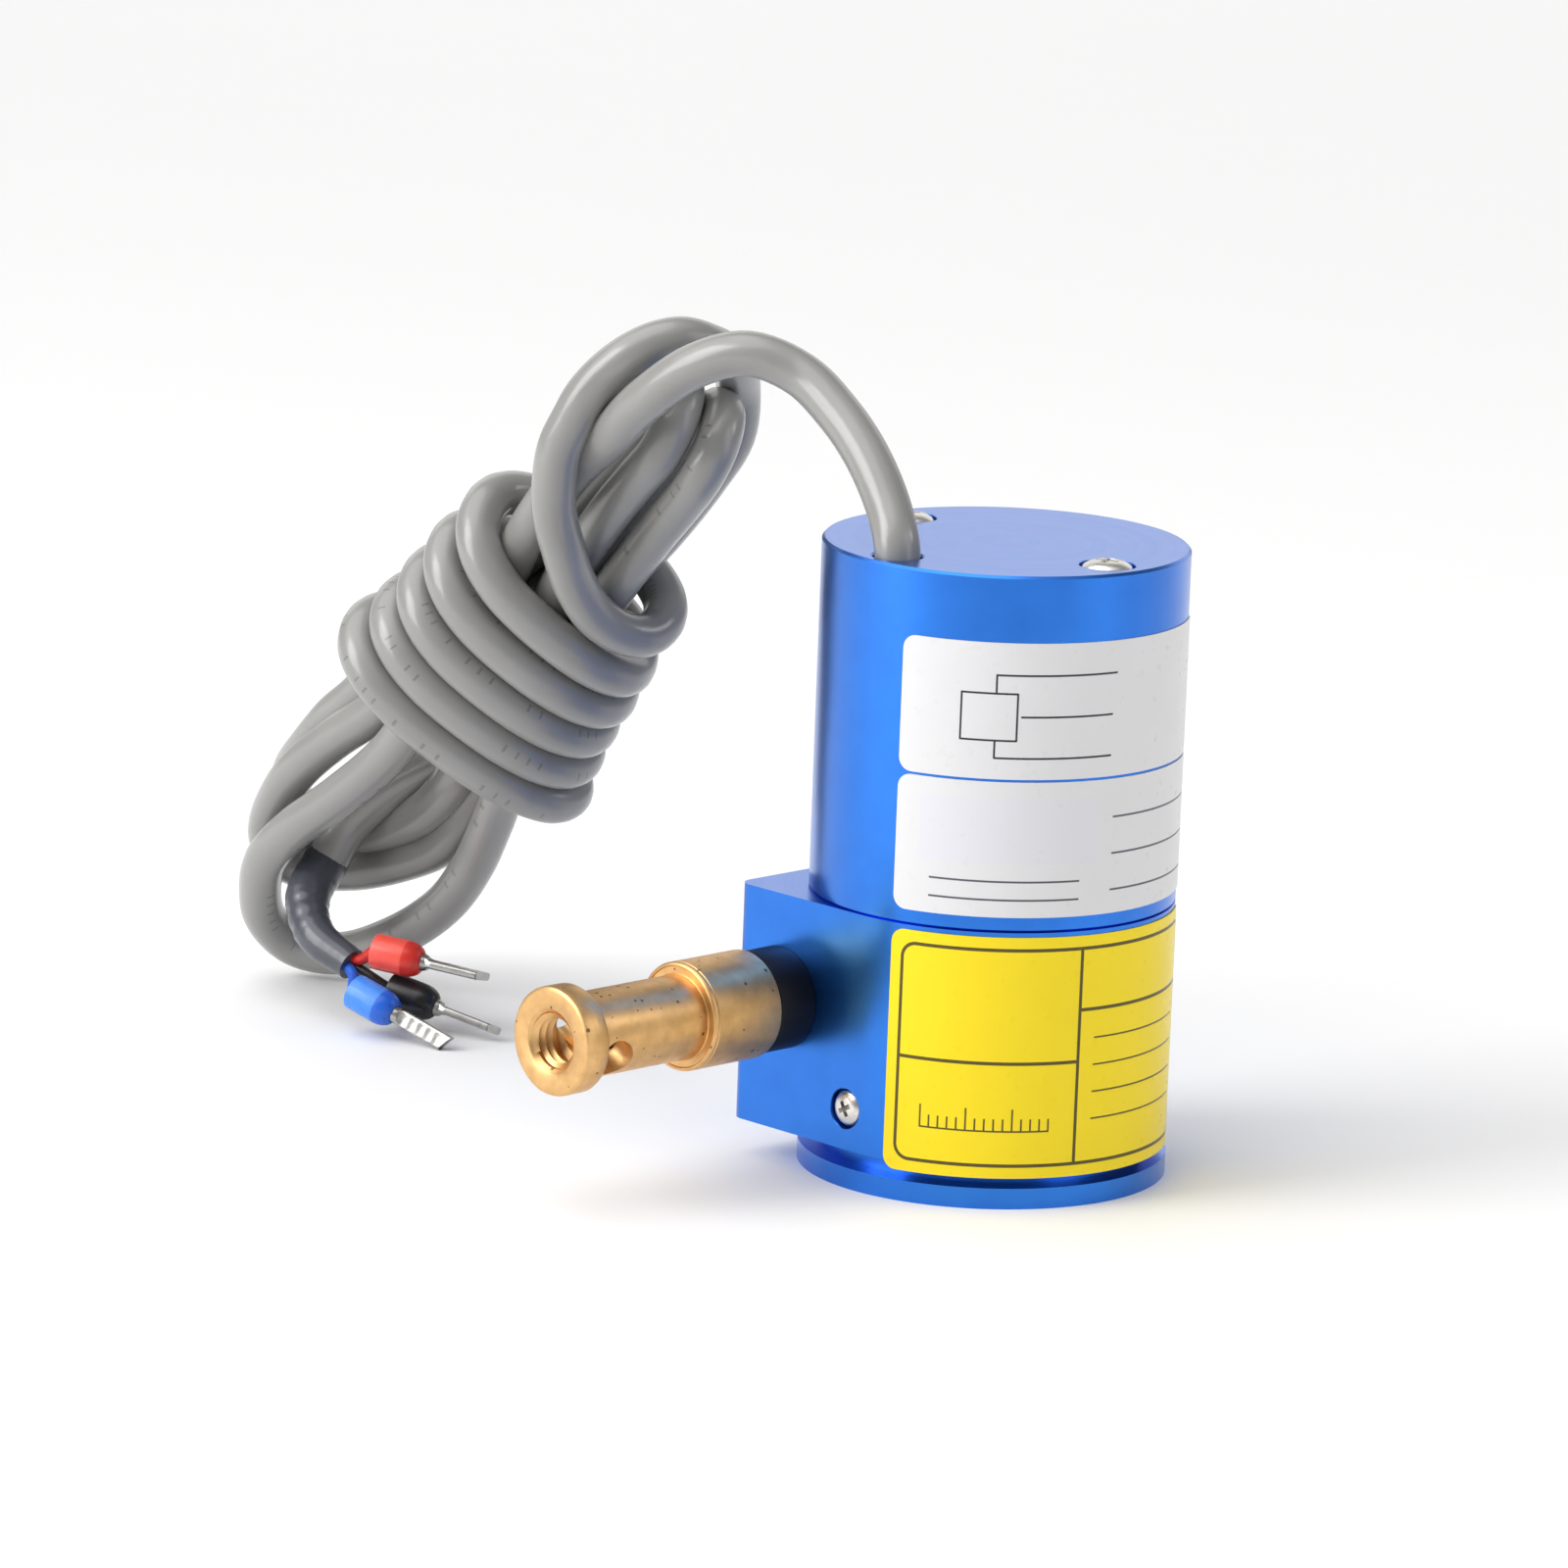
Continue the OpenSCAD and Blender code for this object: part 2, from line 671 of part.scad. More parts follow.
module drum_set_screw() {
    color([0.2, 0.2, 0.22]) translate([0, 0, set_screw_z]) rotate([0, 90, 0])
        rod(set_screw_d / 2 - fit_gap, shaft_r + fit_gap, drum_hub_d / 2 - slip_gap);
}

module drum_shaft() {
    tip = 0.3;
    r = shaft_r - fit_gap;
    color(steel) difference() {
        rotate_extrude() polygon([
            [0, shaft_bottom], [r - tip, shaft_bottom], [r, shaft_bottom + tip],
            [r, shaft_top - tip], [r - tip, shaft_top], [0, shaft_top]
        ]);
        ring(r - clip_depth, r + cut, clip_z, clip_z + clip_t);
    }
}

module shaft_clip() {
    r = shaft_r - clip_depth;
    clip_wall = 1.6;
    mouth = r * 1.4;
    color([0.25, 0.25, 0.27]) difference() {
        ring(r, r + clip_wall, clip_z + fit_gap, clip_z + clip_t - fit_gap);
        translate([0, -mouth / 2, clip_z - cut]) cube([bearing_r, mouth, clip_t + 2 * cut]);
    }
}

// A bearing ring, with a groove for the balls
module race(r_in, r_out, z) {
    groove_gap = 0.03;
    color(steel) rotate_extrude() difference() {
        translate([r_in, z]) square([r_out - r_in, bearing_w]);
        translate([ring_mean_r, z + bearing_w / 2]) circle(r = ball_d / 2 + groove_gap);
    }
}

module lower_bearing_outer() {
    race(bearing_r - ring_wall, bearing_r - fit_gap, z_low_bearing);
}

module lower_bearing_inner() {
    race(shaft_r, shaft_r + ring_wall, z_low_bearing);
}

module upper_bearing_outer() {
    race(bearing_r - ring_wall, bearing_r - fit_gap, z_high_bearing);
}

module upper_bearing_inner() {
    race(shaft_r, shaft_r + ring_wall, z_high_bearing);
}

module bearing_balls() {
    color(nickel) for (z = [z_low_bearing, z_high_bearing], i = [0 : ball_count - 1])
        rotate([0, 0, 360 * i / ball_count]) translate([ring_mean_r, 0, z + bearing_w / 2])
            sphere(d = ball_d);
}

// Half a turn of strip, from one side of its centre to the other
module half_coil(r) {
    rotate_extrude(angle = 180) translate([r - spring_t / 2, 0]) square([spring_t, spring_w]);
}

// A spiral of half turns about two centres, each wider than the last
module power_spring() {
    color([0.35, 0.4, 0.5]) translate([0, 0, z_spring])
        for (i = [0 : spring_coils - 1]) {
            half_coil(spring_r + i * spring_pitch);
            translate([spring_pitch / 2, 0, 0]) rotate([0, 0, 180])
                half_coil(spring_r + (i + 0.5) * spring_pitch);
        }
}

module spring_arbor() {
    slot = 0.5;
    slot_floor_r = shaft_r + 0.4;
    color(brass) difference() {
        ring(shaft_r, arbor_r, base_floor + slip_gap, z_drum - slip_gap);
        translate([slot_floor_r, -slot / 2, z_spring]) cube([arbor_r, slot, spring_w]);
    }
}

module spring_cover() {
    color([0.85, 0.85, 0.82])
        ring(arbor_r + run_gap, spring_room_r + cover_seat - fit_gap, z_cover, cup_edge_z);
}

module shaft_coupling() {
    r = coupling_d / 2;
    color([0.75, 0.76, 0.78]) difference() {
        rod(r, z_coupling, z_coupling + coupling_l);
        rod(shaft_r, z_coupling - cut, pot_shaft_bottom);
        rod(pot_shaft_r, shaft_top, z_coupling + coupling_l + cut);
        for (z = coupling_screw_z) translate([0, 0, z]) rotate([0, 90, 0])
            rod(coupling_screw_r + fit_gap, 0, r + cut);
    }
}

module coupling_screws() {
    starts = [shaft_r, pot_shaft_r];
    color([0.2, 0.2, 0.22]) for (i = [0, 1])
        translate([0, 0, coupling_screw_z[i]]) rotate([0, 90, 0])
            rod(coupling_screw_r, starts[i] + slip_gap / 2, coupling_d / 2 - slip_gap);
}

module potentiometer() {
    rear_step = 1.2;
    rear_r = pot_r - 1;
    groove = 0.3;
    shaft_room = 2;
    key_l = plate_t * 0.8;
    color([0.16, 0.3, 0.5]) difference() {
        union() {
            rod(pot_r, z_pot, z_pot + pot_l - rear_step);
            rod(rear_r, z_pot, z_pot + pot_l);
            rod(bush_d / 2 - fit_gap, z_bush, z_pot + cut);
            translate([0, pot_key_at, 0]) rod(pot_key_r, z_pot - key_l, z_pot + cut);
        }
        rod(pot_shaft_r + slip_gap / 2, z_bush - cut, z_pot + shaft_room);
        for (share = [0.3, 0.7])
            translate([0, 0, z_pot + pot_l * share]) ring(pot_r - groove, pot_r + cut, 0, groove);
    }
}

module potentiometer_shaft() {
    in_body = 1.9;
    color(steel) rod(pot_shaft_r - fit_gap, pot_shaft_bottom, z_pot + in_body);
}

module potentiometer_nut() {
    hole = bush_d / 2;
    color(nickel) {
        difference() {
            translate([0, 0, z_plate - washer_t - nut_t])
                cylinder(d = nut_af / cos(30), h = nut_t, $fn = 6);
            rod(hole, z_bush, z_plate);
        }
        ring(hole, washer_r, z_plate - washer_t, z_plate);
    }
}

module potentiometer_terminals() {
    eye_r = 0.4;
    color([0.85, 0.75, 0.45]) for (a = terminal_angles)
        rotate([0, 0, a]) translate([pot_r - slip_gap / 2, 0, terminal_z])
            difference() {
                translate([0, -terminal_w / 2, 0]) cube([terminal_l, terminal_w, eye_r]);
                translate([terminal_l - eye_in, 0, 0]) rod(eye_r, -cut, cut);
            }
}

module sensor_plate() {
    wall_gap = 0.5;
    color([0.8, 0.81, 0.83]) difference() {
        intersection() {
            rod(cup_bore_r - wall_gap, z_plate, z_pot);
            rotate([0, 0, pillar_turn]) translate([-body_r, -plate_w / 2, z_plate])
                cube([body_d, plate_w, plate_t]);
        }
        rod(bush_d / 2, z_plate - cut, z_pot + cut);
        translate([0, pot_key_at, 0])
            rod(pot_key_r + slip_gap / 2, z_plate - cut, z_pot + cut);
        at_pillars() rod(pin_r, z_plate - cut, z_pot + cut);
    }
}

// A pillar with a stud below and a tapped hole above
module pillar(z0, z1, stud) {
    rod(pin_r - slip_gap / 2, z0 - stud, z0 + cut);
    difference() {
        rod(pillar_d / 2, z0, z1);
        rod(pin_r, z1 - cap_screw_l, z1 + cut);
    }
}

module lower_pillars() {
    color(brass) at_pillars() pillar(z_seam, z_plate, stud_l);
}

module upper_pillars() {
    color(brass) at_pillars() pillar(z_pot, z_cup_ceiling, plate_t + stud_l);
}

module cable_end() {
    color(jacket) tube(refine(cable_inner, 2), cable_r, 12, [0, 1, 0]);
}

module cable_tie() {
    head = 2.4;
    r = cable_r + 2 * slip_gap;
    color([0.93, 0.93, 0.9]) translate(tie_at) {
        ring(r, r + tie_t, -tie_w / 2, tie_w / 2);
        translate([r + tie_t / 2, -head / 2, -tie_w / 2]) cube([head, head, tie_w]);
    }
}

module inner_conductors() {
    start = cable_inner[4];
    spread = 1.45;
    lane = 1.9;
    lane_drop = 2.8;
    drop = 1.5;
    bend_start = -88;
    bend_step = 5;
    rise = 0.6;
    tab_turn = 6;
    core_in = 0.05;
    tab_r = pot_r + terminal_l - eye_in;
    bend_r = (cup_bore_r + pot_r) / 2;
    paints = [[0.75, 0.1, 0.1], [0.1, 0.1, 0.1], [0.1, 0.2, 0.7]];
    for (i = [0 : 2]) {
        a = terminal_angles[i];
        low = terminal_z - lane_drop - lane * (2 - i);
        bend_a = bend_start + bend_step * i;
        color(paints[i]) tube(refine([
            start + [spread * (i - 1), 0, 0], start + [spread * (i - 1), 0, -drop],
            [bend_r * cos(bend_a), bend_r * sin(bend_a), low + rise],
            [bend_r * cos(a - tab_turn), bend_r * sin(a - tab_turn), low],
            [tab_r * cos(a), tab_r * sin(a), terminal_z - wire_core_d / 2]
        ], 3), wire_core_d / 2 - core_in, 6, [0, 0.3, 1]);
    }
}

// Outline of what a rounded corner leaves out; the corner is at [0, 0], and way is the
// direction from there into the label
module corner_waste(r, way) {
    steps = 4;
    arc = [for (k = [0 : steps]) let (t = 270 - 90 * k / steps) [r + r * cos(t), r + r * sin(t)]];
    low = arc[0] + 2 * (arc[0] - arc[1]);
    high = arc[steps] + 2 * (arc[steps] - arc[steps - 1]);
    outline = concat(
        [low], [for (k = [1 : steps - 1]) arc[k]], [high],
        [[-r, high[1]], [-r, -r], [low[0], -r]]
    );
    polygon([for (p = outline) [p[0] * way[0], p[1] * way[1]]]);
}

// A thin sector with rounded corners, on the housings' round side
module label(z0, height) {
    difference() {
        rotate([0, 0, label_start]) rotate_extrude(angle = label_end - label_start)
            translate([body_r + label_gap, z0]) square([label_t, height]);
        for (end = [[label_start, 1], [label_end, -1]], tip = [[z0, 1], [z0 + height, -1]])
            rotate([0, 0, end[0]]) translate([body_r / 2, 0, tip[0]]) rotate([90, 0, 90])
                linear_extrude(body_r) corner_waste(label_r, [end[1], tip[1]]);
    }
}

module top_label() {
    color(paper) label(top_label_z, upper_label_h);
}

module middle_label() {
    color(paper) label(middle_label_z, upper_label_h);
}

module lower_label() {
    color([0.94, 0.85, 0.12]) label(lower_label_z, lower_label_h);
}

module cord_lead() {
    color(jacket) tube(refine(lead_route, 3), cable_r, 10, [0, 1, 0]);
}

// One end of the hank, from its middle to its round tip
module lobe(at) {
    tip = at[0];
    low = at[1][0];
    high = at[1][1];
    translate([tip[0], tip[1], 0]) rod(lobe_r, low, high);
    translate([min(tip[0], 0), tip[1] - lobe_r, low])
        cube([abs(tip[0]), 2 * lobe_r, high - low]);
}

module cord_hank() {
    side = band_half - band_r;
    color(jacket) translate(hank_at) rotate(hank_turn) {
        lobe(lower_lobe);
        lobe(upper_lobe);
        translate([band_low, 0, 0]) rotate([0, 90, 0]) {
            for (y = [-side, side]) translate([0, y, 0]) rod(band_r, 0, band_high - band_low);
            translate([-band_r, -side, 0]) cube([2 * band_r, 2 * side, band_high - band_low]);
        }
    }
}

module cord_tail() {
    color(jacket) tube(refine(tail_route, 3), cable_r, 10, [0, 0, 1]);
}

module heat_shrink() {
    color([0.3, 0.31, 0.35]) tube(refine(sleeve_route, 3), sleeve_r, 10, [0, 0, 1]);
}

// The three conductors between the sleeve and the ferrules
module tail_conductors() {
    from = sleeve_route[3];
    spread = 1.1;
    forward = 0.4;
    short = 0.88;
    paints = [[0.75, 0.1, 0.1], [0.1, 0.1, 0.1], [0.1, 0.25, 0.75]];
    for (i = [0 : 2]) {
        to = ferrules[i][0];
        side = unit(to - from);
        color(paints[i]) aim(from + spread * [forward * side[0], side[1], side[2]], to)
            rod(wire_core_d / 2, 0, norm(to - from) - short);
    }
}

module collar(at) {
    mouth = 2;
    aim(at[0], at[1]) difference() {
        rod(collar_d / 2, 0, collar_l);
        rod(pin_barrel_r, collar_l - mouth, collar_l + cut);
    }
}

module red_ferrule() {
    color([0.85, 0.12, 0.1]) collar(red_at);
}

module black_ferrule() {
    color([0.1, 0.1, 0.11]) collar(black_at);
}

module blue_ferrule() {
    color([0.1, 0.35, 0.85]) collar(blue_at);
}

// The crimped pins, flat and narrower than the collars
module ferrule_pins() {
    flat_t = 1;
    flat_w = 2;
    barrel_in = 1.8;
    barrel_out = 0.6;
    flat_from = 0.5;
    color(nickel) for (at = ferrules) aim(at[0], at[1]) {
        rod(pin_barrel_r - fit_gap, collar_l - barrel_in, collar_l + barrel_out);
        translate([-flat_t / 2, -flat_w / 2, collar_l + flat_from])
            cube([flat_t, flat_w, pin_l - flat_from]);
    }
}

spring_base();
drum_housing();
sensor_housing();
housing_screws();
cap_screws();
wire_nozzle();
wire_guide();
draw_wire();
wound_wire();
wire_crimp();
end_fitting();
wire_drum();
drum_set_screw();
drum_shaft();
shaft_clip();
lower_bearing_outer();
lower_bearing_inner();
upper_bearing_outer();
upper_bearing_inner();
bearing_balls();
power_spring();
spring_arbor();
spring_cover();
shaft_coupling();
coupling_screws();
potentiometer();
potentiometer_shaft();
potentiometer_nut();
potentiometer_terminals();
sensor_plate();
lower_pillars();
upper_pillars();
cable_end();
cable_tie();
inner_conductors();
top_label();
middle_label();
lower_label();
cord_lead();
cord_hank();
cord_tail();
heat_shrink();
tail_conductors();
red_ferrule();
black_ferrule();
blue_ferrule();
ferrule_pins();
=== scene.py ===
# %% [markdown]
# # A draw wire encoder, dressed for its picture
# A draw wire encoder measures how far something moves. A thin steel wire winds off a drum, the
# drum turns a potentiometer, and the voltage on the cable says how long the wire is. The CAD
# model gives every piece its place. This script adds what CAD leaves out: fine edges, threads,
# print, the run of the cable, and finishes that look like anodised aluminium, brass and PVC.

# %% Load the CAD model
import math
import random

import bmesh
import bpy
from mathutils import Matrix, Vector


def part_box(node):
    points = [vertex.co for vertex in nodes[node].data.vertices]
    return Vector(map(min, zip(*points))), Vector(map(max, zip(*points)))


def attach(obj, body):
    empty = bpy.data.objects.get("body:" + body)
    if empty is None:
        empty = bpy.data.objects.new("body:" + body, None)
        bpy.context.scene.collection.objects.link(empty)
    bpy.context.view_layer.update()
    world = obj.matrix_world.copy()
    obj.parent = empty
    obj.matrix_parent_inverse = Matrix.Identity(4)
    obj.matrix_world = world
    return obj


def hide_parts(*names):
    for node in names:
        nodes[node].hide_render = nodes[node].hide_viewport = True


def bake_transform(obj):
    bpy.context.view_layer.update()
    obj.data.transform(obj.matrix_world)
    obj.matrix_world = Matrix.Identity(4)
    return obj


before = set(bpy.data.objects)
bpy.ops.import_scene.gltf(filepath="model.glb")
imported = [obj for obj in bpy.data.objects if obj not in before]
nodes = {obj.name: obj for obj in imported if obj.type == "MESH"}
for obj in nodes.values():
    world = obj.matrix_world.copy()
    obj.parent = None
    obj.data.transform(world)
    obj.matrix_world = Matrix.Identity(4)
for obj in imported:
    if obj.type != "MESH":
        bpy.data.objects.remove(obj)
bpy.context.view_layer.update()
MM = 0.001


# %% [markdown]
# ## Places taken from the CAD model
# A piece that is built again in Blender has to sit exactly where its solid sits. So every main
# size is read from the solid's box, in millimetres, and only fine details get numbers of their
# own. All meshes are drawn in millimetres, and one helper turns them into metres at the end.

# %% Read the main sizes
def span(node):
    """The lowest and highest corner of a node, in millimetres."""
    low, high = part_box(node)
    return Vector(low) / MM, Vector(high) / MM


_, base_high = span("spring_base")
drum_low, _ = span("drum_housing")
cup_low, cup_high = span("sensor_housing")
fitting_low, fitting_high = span("end_fitting")
nozzle_low, nozzle_high = span("wire_nozzle")
crimp_low, crimp_high = span("wire_crimp")

BODY_R = cup_high.x
FLANGE_R = base_high.x
Z_BODY = drum_low.z
Z_SEAM = cup_low.z
Z_TOP = cup_high.z
OUTLET = Vector(((fitting_low.x + fitting_high.x) / 2, 0, (fitting_low.z + fitting_high.z) / 2))
print("body radius", BODY_R, "seam", Z_SEAM, "top", Z_TOP, "outlet", OUTLET[:])


# %% [markdown]
# ## The camera
# A product picture is taken from far away with a long lens, so that upright edges stay nearly
# upright. The camera stands two thirds of a metre out on each side, a little above the object,
# and is tipped by two degrees, which makes the cylinder lean slightly.

# %% Place the camera
def turn_about(axis, degrees):
    """A rotation about X, Y or Z."""
    return Matrix.Rotation(math.radians(degrees), 3, axis)


def studio_camera(at, azimuth, elevation, roll, lens):
    """A camera at a place in millimetres that looks down by its elevation, in degrees."""
    camera = bpy.data.objects.new("camera", bpy.data.cameras.new("camera"))
    bpy.context.scene.collection.objects.link(camera)
    camera.data.lens = lens
    camera.data.sensor_width = 36
    camera.data.clip_start = 0.05  # metres: near enough for a close view
    aim = turn_about("Z", azimuth) @ turn_about("X", 90 - elevation) @ turn_about("Z", roll)
    camera.matrix_world = Matrix.Translation(Vector(at) * MM) @ aim.to_4x4()
    bpy.context.scene.camera = camera
    return camera


camera = studio_camera(
    at=(655.38, -678.26, 249.65), azimuth=45.42, elevation=12.45, roll=2.15, lens=203.9
)
print("camera", camera.location[:], "lens", camera.data.lens)


# %% [markdown]
# ## The route of the cable
# The cable leaves the top of the housing, arches over, and is bundled: three long loops hang
# down, three shorter ones stand up, and the last length is wound five times round the middle
# and tucked in. Such a cable could be simulated, but a bundle pulled tight by hand has a shape
# of its own, so it is drawn as one line of points through which a smooth curve runs. The lead
# and the tail are in the object's frame, in millimetres. The bundle is easier to draw lying
# flat, in its own frame, with x along the bundle and z up from it, and is then turned in space.

# %% The lead and the tail, in the object's frame
CABLE_HOLE = (-0.7, -16)
LEAD = [
    (*CABLE_HOLE, 61), (*CABLE_HOLE, 69.3), (-1.2, -15.8, 71), (-4, -14.6, 74.4),
    (-8.5, -13.6, 78.9), (-13.5, -13.2, 82.7), (-18.8, -13.7, 86), (-23.8, -16.6, 87.8),
    (-29.4, -19, 86), (-35.5, -20.4, 81.6), (-42.1, -19.1, 76.7), (-50, -17.4, 71.3),
    (-55.3, -16.3, 66.6), (-60.2, -15.7, 60.8),
]
TAIL = [(-85.3, -2.6, 30.3), (-92.4, -4.6, 25.8), (-96.8, -7.1, 21.2), (-98.6, -9.7, 16)]
HANK_AT = Vector((-68.5, -10, 45))
HANK_TURN = turn_about("Z", -2) @ turn_about("Y", -50) @ turn_about("X", 126)


def in_world(p):
    """A point of the bundle's frame, in the object's frame."""
    return HANK_AT + HANK_TURN @ Vector(p)


print("lead", len(LEAD), "points, tail", len(TAIL), "points")

# %% The first loop of the bundle, in its own frame
FIRST_HANGING = [
    (6, 4.8, 2.7), (-6, 5, 2.6),
    (-18.7, 5.2, 2.5), (-28.5, 7.3, 2.6), (-36.6, 9.3, 1.5), (-44, 10, 0), (-49.7, 8.7, -1.5),
    (-54.6, 6, -3), (-56.7, 1.5, -4.2), (-54.4, -3.3, -4.6), (-46.9, -7.6, -4),
    (-37.4, -10.1, -2.5), (-28.1, -10.2, -0.4), (-20.2, -9.2, 1),
]
FIRST_RISING = [(-9.2, -7.4, 2.4), (4, -7.5, 2), (16, -5.3, 2.5), (28, -5.4, 2.8), (36, -5.9, 3.3)]
FIRST_BACK = [(33, -3, -5.2), (24, -2, -4), (16, -1, -2.7), (2, 3.2, -2.4), (-9, 6.9, -1.6)]
print("first loop", len(FIRST_HANGING + FIRST_RISING + FIRST_BACK), "points")

# %% The second loop
SECOND_HANGING = [
    (-18.7, 9.4, -1.4), (-24.7, 11.1, -2.2), (-33.6, 12.7, -3.6), (-39.9, 12.6, -4.8),
    (-45, 11.7, -6), (-47.8, 10.4, -7), (-49.7, 8.1, -8), (-49.6, 5.4, -8.6),
    (-47.6, 2.8, -8.6), (-44.1, -0.3, -8), (-38.8, -3.5, -7), (-32.6, -6, -5.6),
    (-26.4, -6.6, -4.3), (-20.8, -6.3, -3.4),
]
SECOND_RISING = [
    (-12, -5.9, -1.6), (-3, -3.7, 0.8), (6, -1.8, 2.4), (16, -0.2, 2.6), (28, 0, 2.8),
    (35, -0.4, 3.3),
]
SECOND_BACK = [(33, 2.2, -5.2), (25, 3.2, -4.1), (16, 4.3, -2.7), (2, 8.2, -2.7), (-9, 10.4, -3.4)]
print("second loop", len(SECOND_HANGING + SECOND_RISING + SECOND_BACK), "points")

# %% The third loop, which goes on into the turns
THIRD_HANGING = [
    (-19.4, 11.6, -4.5), (-25.5, 12.6, -6), (-32, 13, -7.3), (-38, 13, -9),
    (-43.7, 11.8, -11), (-48.5, 9.9, -11.7), (-48.4, 6.7, -11.8), (-44, 3, -11),
    (-40.4, 1.3, -9.5), (-35.3, -0.7, -7.5), (-29.3, -2.2, -5), (-23.4, -2.8, -3),
    (-17, -2.6, -1.2),
]
THIRD_RISING = [
    (-6, -1.8, -2.1), (5, -3, -2.6), (16, -5, -2.7), (24, -6.4, -5.8), (32, -7, -8.2),
    (38, -6.8, -9.2), (44.2, -4.2, -8.9), (49.5, -1.7, -5.2), (52.2, 1.7, -1.4),
    (52.3, 4.3, 0.4), (51, 6.3, 1.9), (49, 7.8, 3.4), (46, 8.9, 4.7), (42.9, 9.4, 6),
    (40.1, 9.2, 7), (36.5, 8.7, 8.2), (33.2, 7.2, 9.3), (29.9, 5.2, 9.9), (25.9, 1.9, 9.6),
    (22, -1.3, 8.6), (18.9, -5.1, 7.2), (17.4, -8.4, 5.4), (17, -11, 3),
]
TUCK = [(-11.2, -12.5, -4.6), (-12, -8.5, -7.6), (-13.4, -4.2, -8.4)]
print("third loop", len(THIRD_HANGING + THIRD_RISING), "points")


# %% Folds at the top of the loops
FOLD_FRONT, FOLD_BACK = 3.6, -5.4


def fold(x, y_from, y_to):
    """A half circle over the top, from the front strand to the back one."""
    r = (FOLD_FRONT - FOLD_BACK) / 2
    middle = (FOLD_FRONT + FOLD_BACK) / 2
    angles = [math.radians(45 * k) for k in range(5)]
    return [
        (x + r * math.sin(a), y_from + (y_to - y_from) * (1 - math.cos(a)) / 2,
         middle + r * math.cos(a))
        for a in angles
    ]


FIRST_FOLD = fold(40.7, -6, -3.3)
SECOND_FOLD = fold(40.3, -0.8, 1.8)
print("each fold has", len(FIRST_FOLD), "points")


# %% [markdown]
# The turns round the middle are worked out by a loop. Each half turn goes from the right side
# of the bundle to the left behind it, or from left to right in front of it. Its outline is
# between an ellipse and a rectangle, which is how a cable lies round flat strands.

# %% Turns round the middle
LEFT_SIDE = [(17.5, 11.8), (10.6, 12.7), (4.4, 13.2), (-1.3, 14), (-6.7, 15.6)]
RIGHT_SIDE = [
    (17.4, -11.9), (9.6, -12.2), (4.5, -12.5), (-0.5, -12.7), (-5.4, -13.3), (-10.5, -14.6)
]
TURN_DEPTH = 7.7
SQUARENESS = 2.3


def half_turn(start, end, side, steps=8):
    """Half a turn between two (x, y) side points, in front (side 1) or behind (side -1)."""
    points = []
    for k in range(steps):
        a = math.pi * k / steps
        across = math.copysign(abs(math.cos(a)) ** (2 / SQUARENESS), math.cos(a))
        x = start[0] + (end[0] - start[0]) * k / steps
        y = (start[1] + end[1]) / 2 + (start[1] - end[1]) / 2 * across
        points.append((x, y, side * TURN_DEPTH * math.sin(a) ** (2 / SQUARENESS)))
    return points


turns = []
for left, right, following in zip(LEFT_SIDE, RIGHT_SIDE, RIGHT_SIDE[1:]):
    turns += half_turn(right, left, -1) + half_turn(left, following, 1)
turns.append((*RIGHT_SIDE[-1], 0))
print(len(turns), "points in the turns")


# %% One smooth line through all the points
def smooth_line(points, steps):
    """A centripetal Catmull-Rom curve, which goes through its points without overshoot."""
    p = [2 * points[0] - points[1], *points, 2 * points[-1] - points[-2]]
    line = []
    for a, b, c, d in zip(p, p[1:], p[2:], p[3:]):
        t1 = (b - a).length ** 0.5
        t2 = t1 + (c - b).length ** 0.5
        t3 = t2 + (d - c).length ** 0.5
        for k in range(steps):
            t = t1 + (t2 - t1) * k / steps
            ab = a.lerp(b, t / t1)
            bc = b.lerp(c, (t - t1) / (t2 - t1))
            cd = c.lerp(d, (t - t2) / (t3 - t2))
            first = ab.lerp(bc, t / t2)
            second = bc.lerp(cd, (t - t1) / (t3 - t1))
            line.append(first.lerp(second, (t - t1) / (t2 - t1)))
    return line + [points[-1]]


hank = (
    FIRST_HANGING + FIRST_RISING + FIRST_FOLD + FIRST_BACK
    + SECOND_HANGING + SECOND_RISING + SECOND_FOLD + SECOND_BACK
    + THIRD_HANGING + THIRD_RISING + turns + TUCK
)
route = [Vector(p) for p in LEAD] + [in_world(p) for p in hank] + [Vector(p) for p in TAIL]
cable_line = [p * MM for p in smooth_line(route, steps=6)]


def length_of(line):
    return sum((b - a).length for a, b in zip(line, line[1:]))


print(len(route), "points,", round(length_of(cable_line), 4), "m of cable")


# %% [markdown]
# ## Tools of the workshop
# Most pieces are turned on a lathe, so one helper spins a profile about an axis. Others turn a
# mesh into an object, cut holes with a Boolean, break sharp edges with a Bevel modifier, and
# sweep a round bar along a line.

# %% Helpers that make objects
def to_object(name, bm, body):
    """Turns a bmesh drawn in millimetres into a smooth-shaded object on a body."""
    bmesh.ops.scale(bm, vec=(MM, MM, MM), verts=bm.verts)
    mesh = bpy.data.meshes.new(name)
    bm.to_mesh(mesh)
    bm.free()
    piece = bpy.data.objects.new(name, mesh)
    bpy.context.scene.collection.objects.link(piece)
    shade(piece)
    if body:
        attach(piece, body)
    return piece


def shade(piece, angle=35):
    """Smooth shading with sharp edges where faces meet at more than an angle."""
    piece.data.shade_smooth()
    piece.data.set_sharp_from_angle(angle=math.radians(angle))


def tidy(bm):
    """Joins vertices that fall on each other and turns all faces outwards."""
    bmesh.ops.remove_doubles(bm, verts=bm.verts, dist=1e-4)
    bmesh.ops.recalc_face_normals(bm, faces=bm.faces)


print("object helpers ready")


